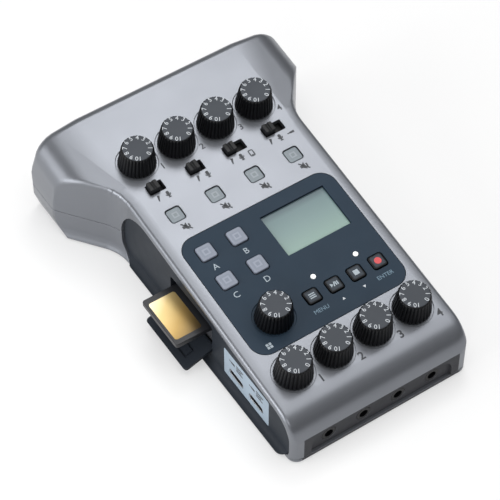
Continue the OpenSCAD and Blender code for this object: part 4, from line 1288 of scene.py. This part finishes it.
@dataclass
class Studio:
    """Pale floor, soft lights and the camera."""

    azimuth: float = -33.43
    elevation: float = 52.55
    distance: float = 833.2
    target: Triple = (-11.43, -8.24, 32.2)
    lens: float = 163.62
    sensor: float = 36.0
    clip: float = 20000.0
    lamps: tuple[SoftBox, ...] = (
        SoftBox("overhead", (150, 0, 900), 1050, 6.3),
        SoftBox("accent", (260, 370, 810), 280, 0.95),
        SoftBox("left_card", (-720, 280, 240), 420, 1.6),
        SoftBox("low_card", (-740, -20, 215), 420, 2.6),
        SoftBox("edge", (-440, -520, 420), 130, 0.5),
    )
    aim: Triple = (0.0, 0.0, 20.0)
    floor_half: float = 3000.0
    paper: str = "#bcbcbc"
    glow: float = 0.45
    horizon: str = "#3f4245"
    zenith: str = "#e7e7e7"
    air: float = 0.6

    def build(self) -> None:
        """Makes the floor, the world, the lights and the camera."""
        self.floor()
        self.world()
        for box in self.lamps:
            self.lamp(box)
        self.camera()

    def floor(self) -> None:
        """A wide white sheet on the table plane, white to the camera and shaded under the object."""
        half = self.floor_half * MM
        mesh = bpy.data.meshes.new("floor")
        corners = [(-half, -half, 0), (half, -half, 0), (half, half, 0), (-half, half, 0)]
        mesh.from_pydata(corners, [], [(0, 1, 2, 3)])
        # Matt white paper: it gives back half the light, and glows to the eye, in gloss and through glass
        made = bpy.data.materials.new("white_paper_floor")
        tree = blank_tree(made)
        paper = add(tree, "ShaderNodeBsdfDiffuse", None, {"Color": linear(self.paper)})
        glow = add(tree, "ShaderNodeEmission", None, {"Strength": self.glow})
        ray = add(tree, "ShaderNodeLightPath")
        clear = add(tree, "ShaderNodeMath", {"operation": "MAXIMUM"},
                    {0: ray.outputs["Is Glossy Ray"], 1: ray.outputs["Is Transmission Ray"]})
        seen = add(tree, "ShaderNodeMath", {"operation": "MAXIMUM"},
                   {0: ray.outputs["Is Camera Ray"], 1: clear.outputs[0]})
        both = add(tree, "ShaderNodeAddShader", None, {0: paper.outputs[0], 1: glow.outputs[0]})
        mix = add(tree, "ShaderNodeMixShader", None,
                  {0: seen.outputs[0], 1: paper.outputs[0], 2: both.outputs[0]})
        add(tree, "ShaderNodeOutputMaterial", None, {"Surface": mix.outputs[0]})
        mesh.materials.append(made)
        sheet = bpy.data.objects.new("floor", mesh)
        bpy.context.scene.collection.objects.link(sheet)

    def world(self) -> None:
        """Even studio air, brighter overhead than at the horizon."""
        world = bpy.data.worlds.new("studio_air")
        bpy.context.scene.world = world
        tree = blank_tree(world)
        way = add(tree, "ShaderNodeTexCoord").outputs["Generated"]
        split = add(tree, "ShaderNodeSeparateXYZ", None, {"Vector": way})
        ramp = add(tree, "ShaderNodeValToRGB", None, {"Fac": split.outputs["Z"]})
        set_stops(ramp, ((0.0, linear(self.horizon)), (1.0, linear(self.zenith))))
        air = add(tree, "ShaderNodeBackground", None, {"Color": ramp.outputs["Color"], "Strength": self.air})
        add(tree, "ShaderNodeOutputWorld", None, {"Surface": air.outputs[0]})

    def lamp(self, box: SoftBox) -> None:
        """Adds a square soft box that faces the object.

        Args:
            box: Its name, place, side and power.
        """
        light = bpy.data.lights.new(box.name, "AREA")
        light.size = box.side * MM
        light.energy = box.watts
        lamp = bpy.data.objects.new(box.name, light)
        bpy.context.scene.collection.objects.link(lamp)
        lamp.location = Vector(box.place) * MM
        lamp.rotation_euler = (Vector(self.aim) - Vector(box.place)).to_track_quat("-Z", "Y").to_euler()

    def camera(self) -> None:
        """Looks at the target from the photograph's side, with a long lens."""
        a, e = math.radians(self.azimuth), math.radians(self.elevation)
        back = Vector((math.sin(a) * math.cos(e), -math.cos(a) * math.cos(e), math.sin(e)))
        lens = bpy.data.cameras.new("camera")
        lens.sensor_width = self.sensor
        lens.lens = self.lens
        lens.clip_end = self.clip * MM
        camera = bpy.data.objects.new("camera", lens)
        bpy.context.scene.collection.objects.link(camera)
        camera.location = (Vector(self.target) + back * self.distance) * MM
        camera.rotation_euler = (-back).to_track_quat("-Z", "Y").to_euler()
        bpy.context.scene.camera = camera


def main() -> None:
    """Builds the recorder, sub-assembly by sub-assembly, and the studio round it."""
    logging.basicConfig(level=logging.INFO, format="%(message)s")
    pieces = Pieces()
    glyphs = Glyphs()
    deck = ControlDeck()
    sides = Sides()
    Studio().build()
    Housing().build(pieces)
    deck.build(pieces, glyphs)
    Printing(deck, glyphs).build(pieces)
    Screen().build(pieces)
    sides.build(pieces, glyphs)
    sides.dress_inside()
    bpy.context.scene.view_settings.view_transform = "Standard"
    LOG.info("%d pieces", len(pieces.made))


if __name__ == "__main__":
    main()
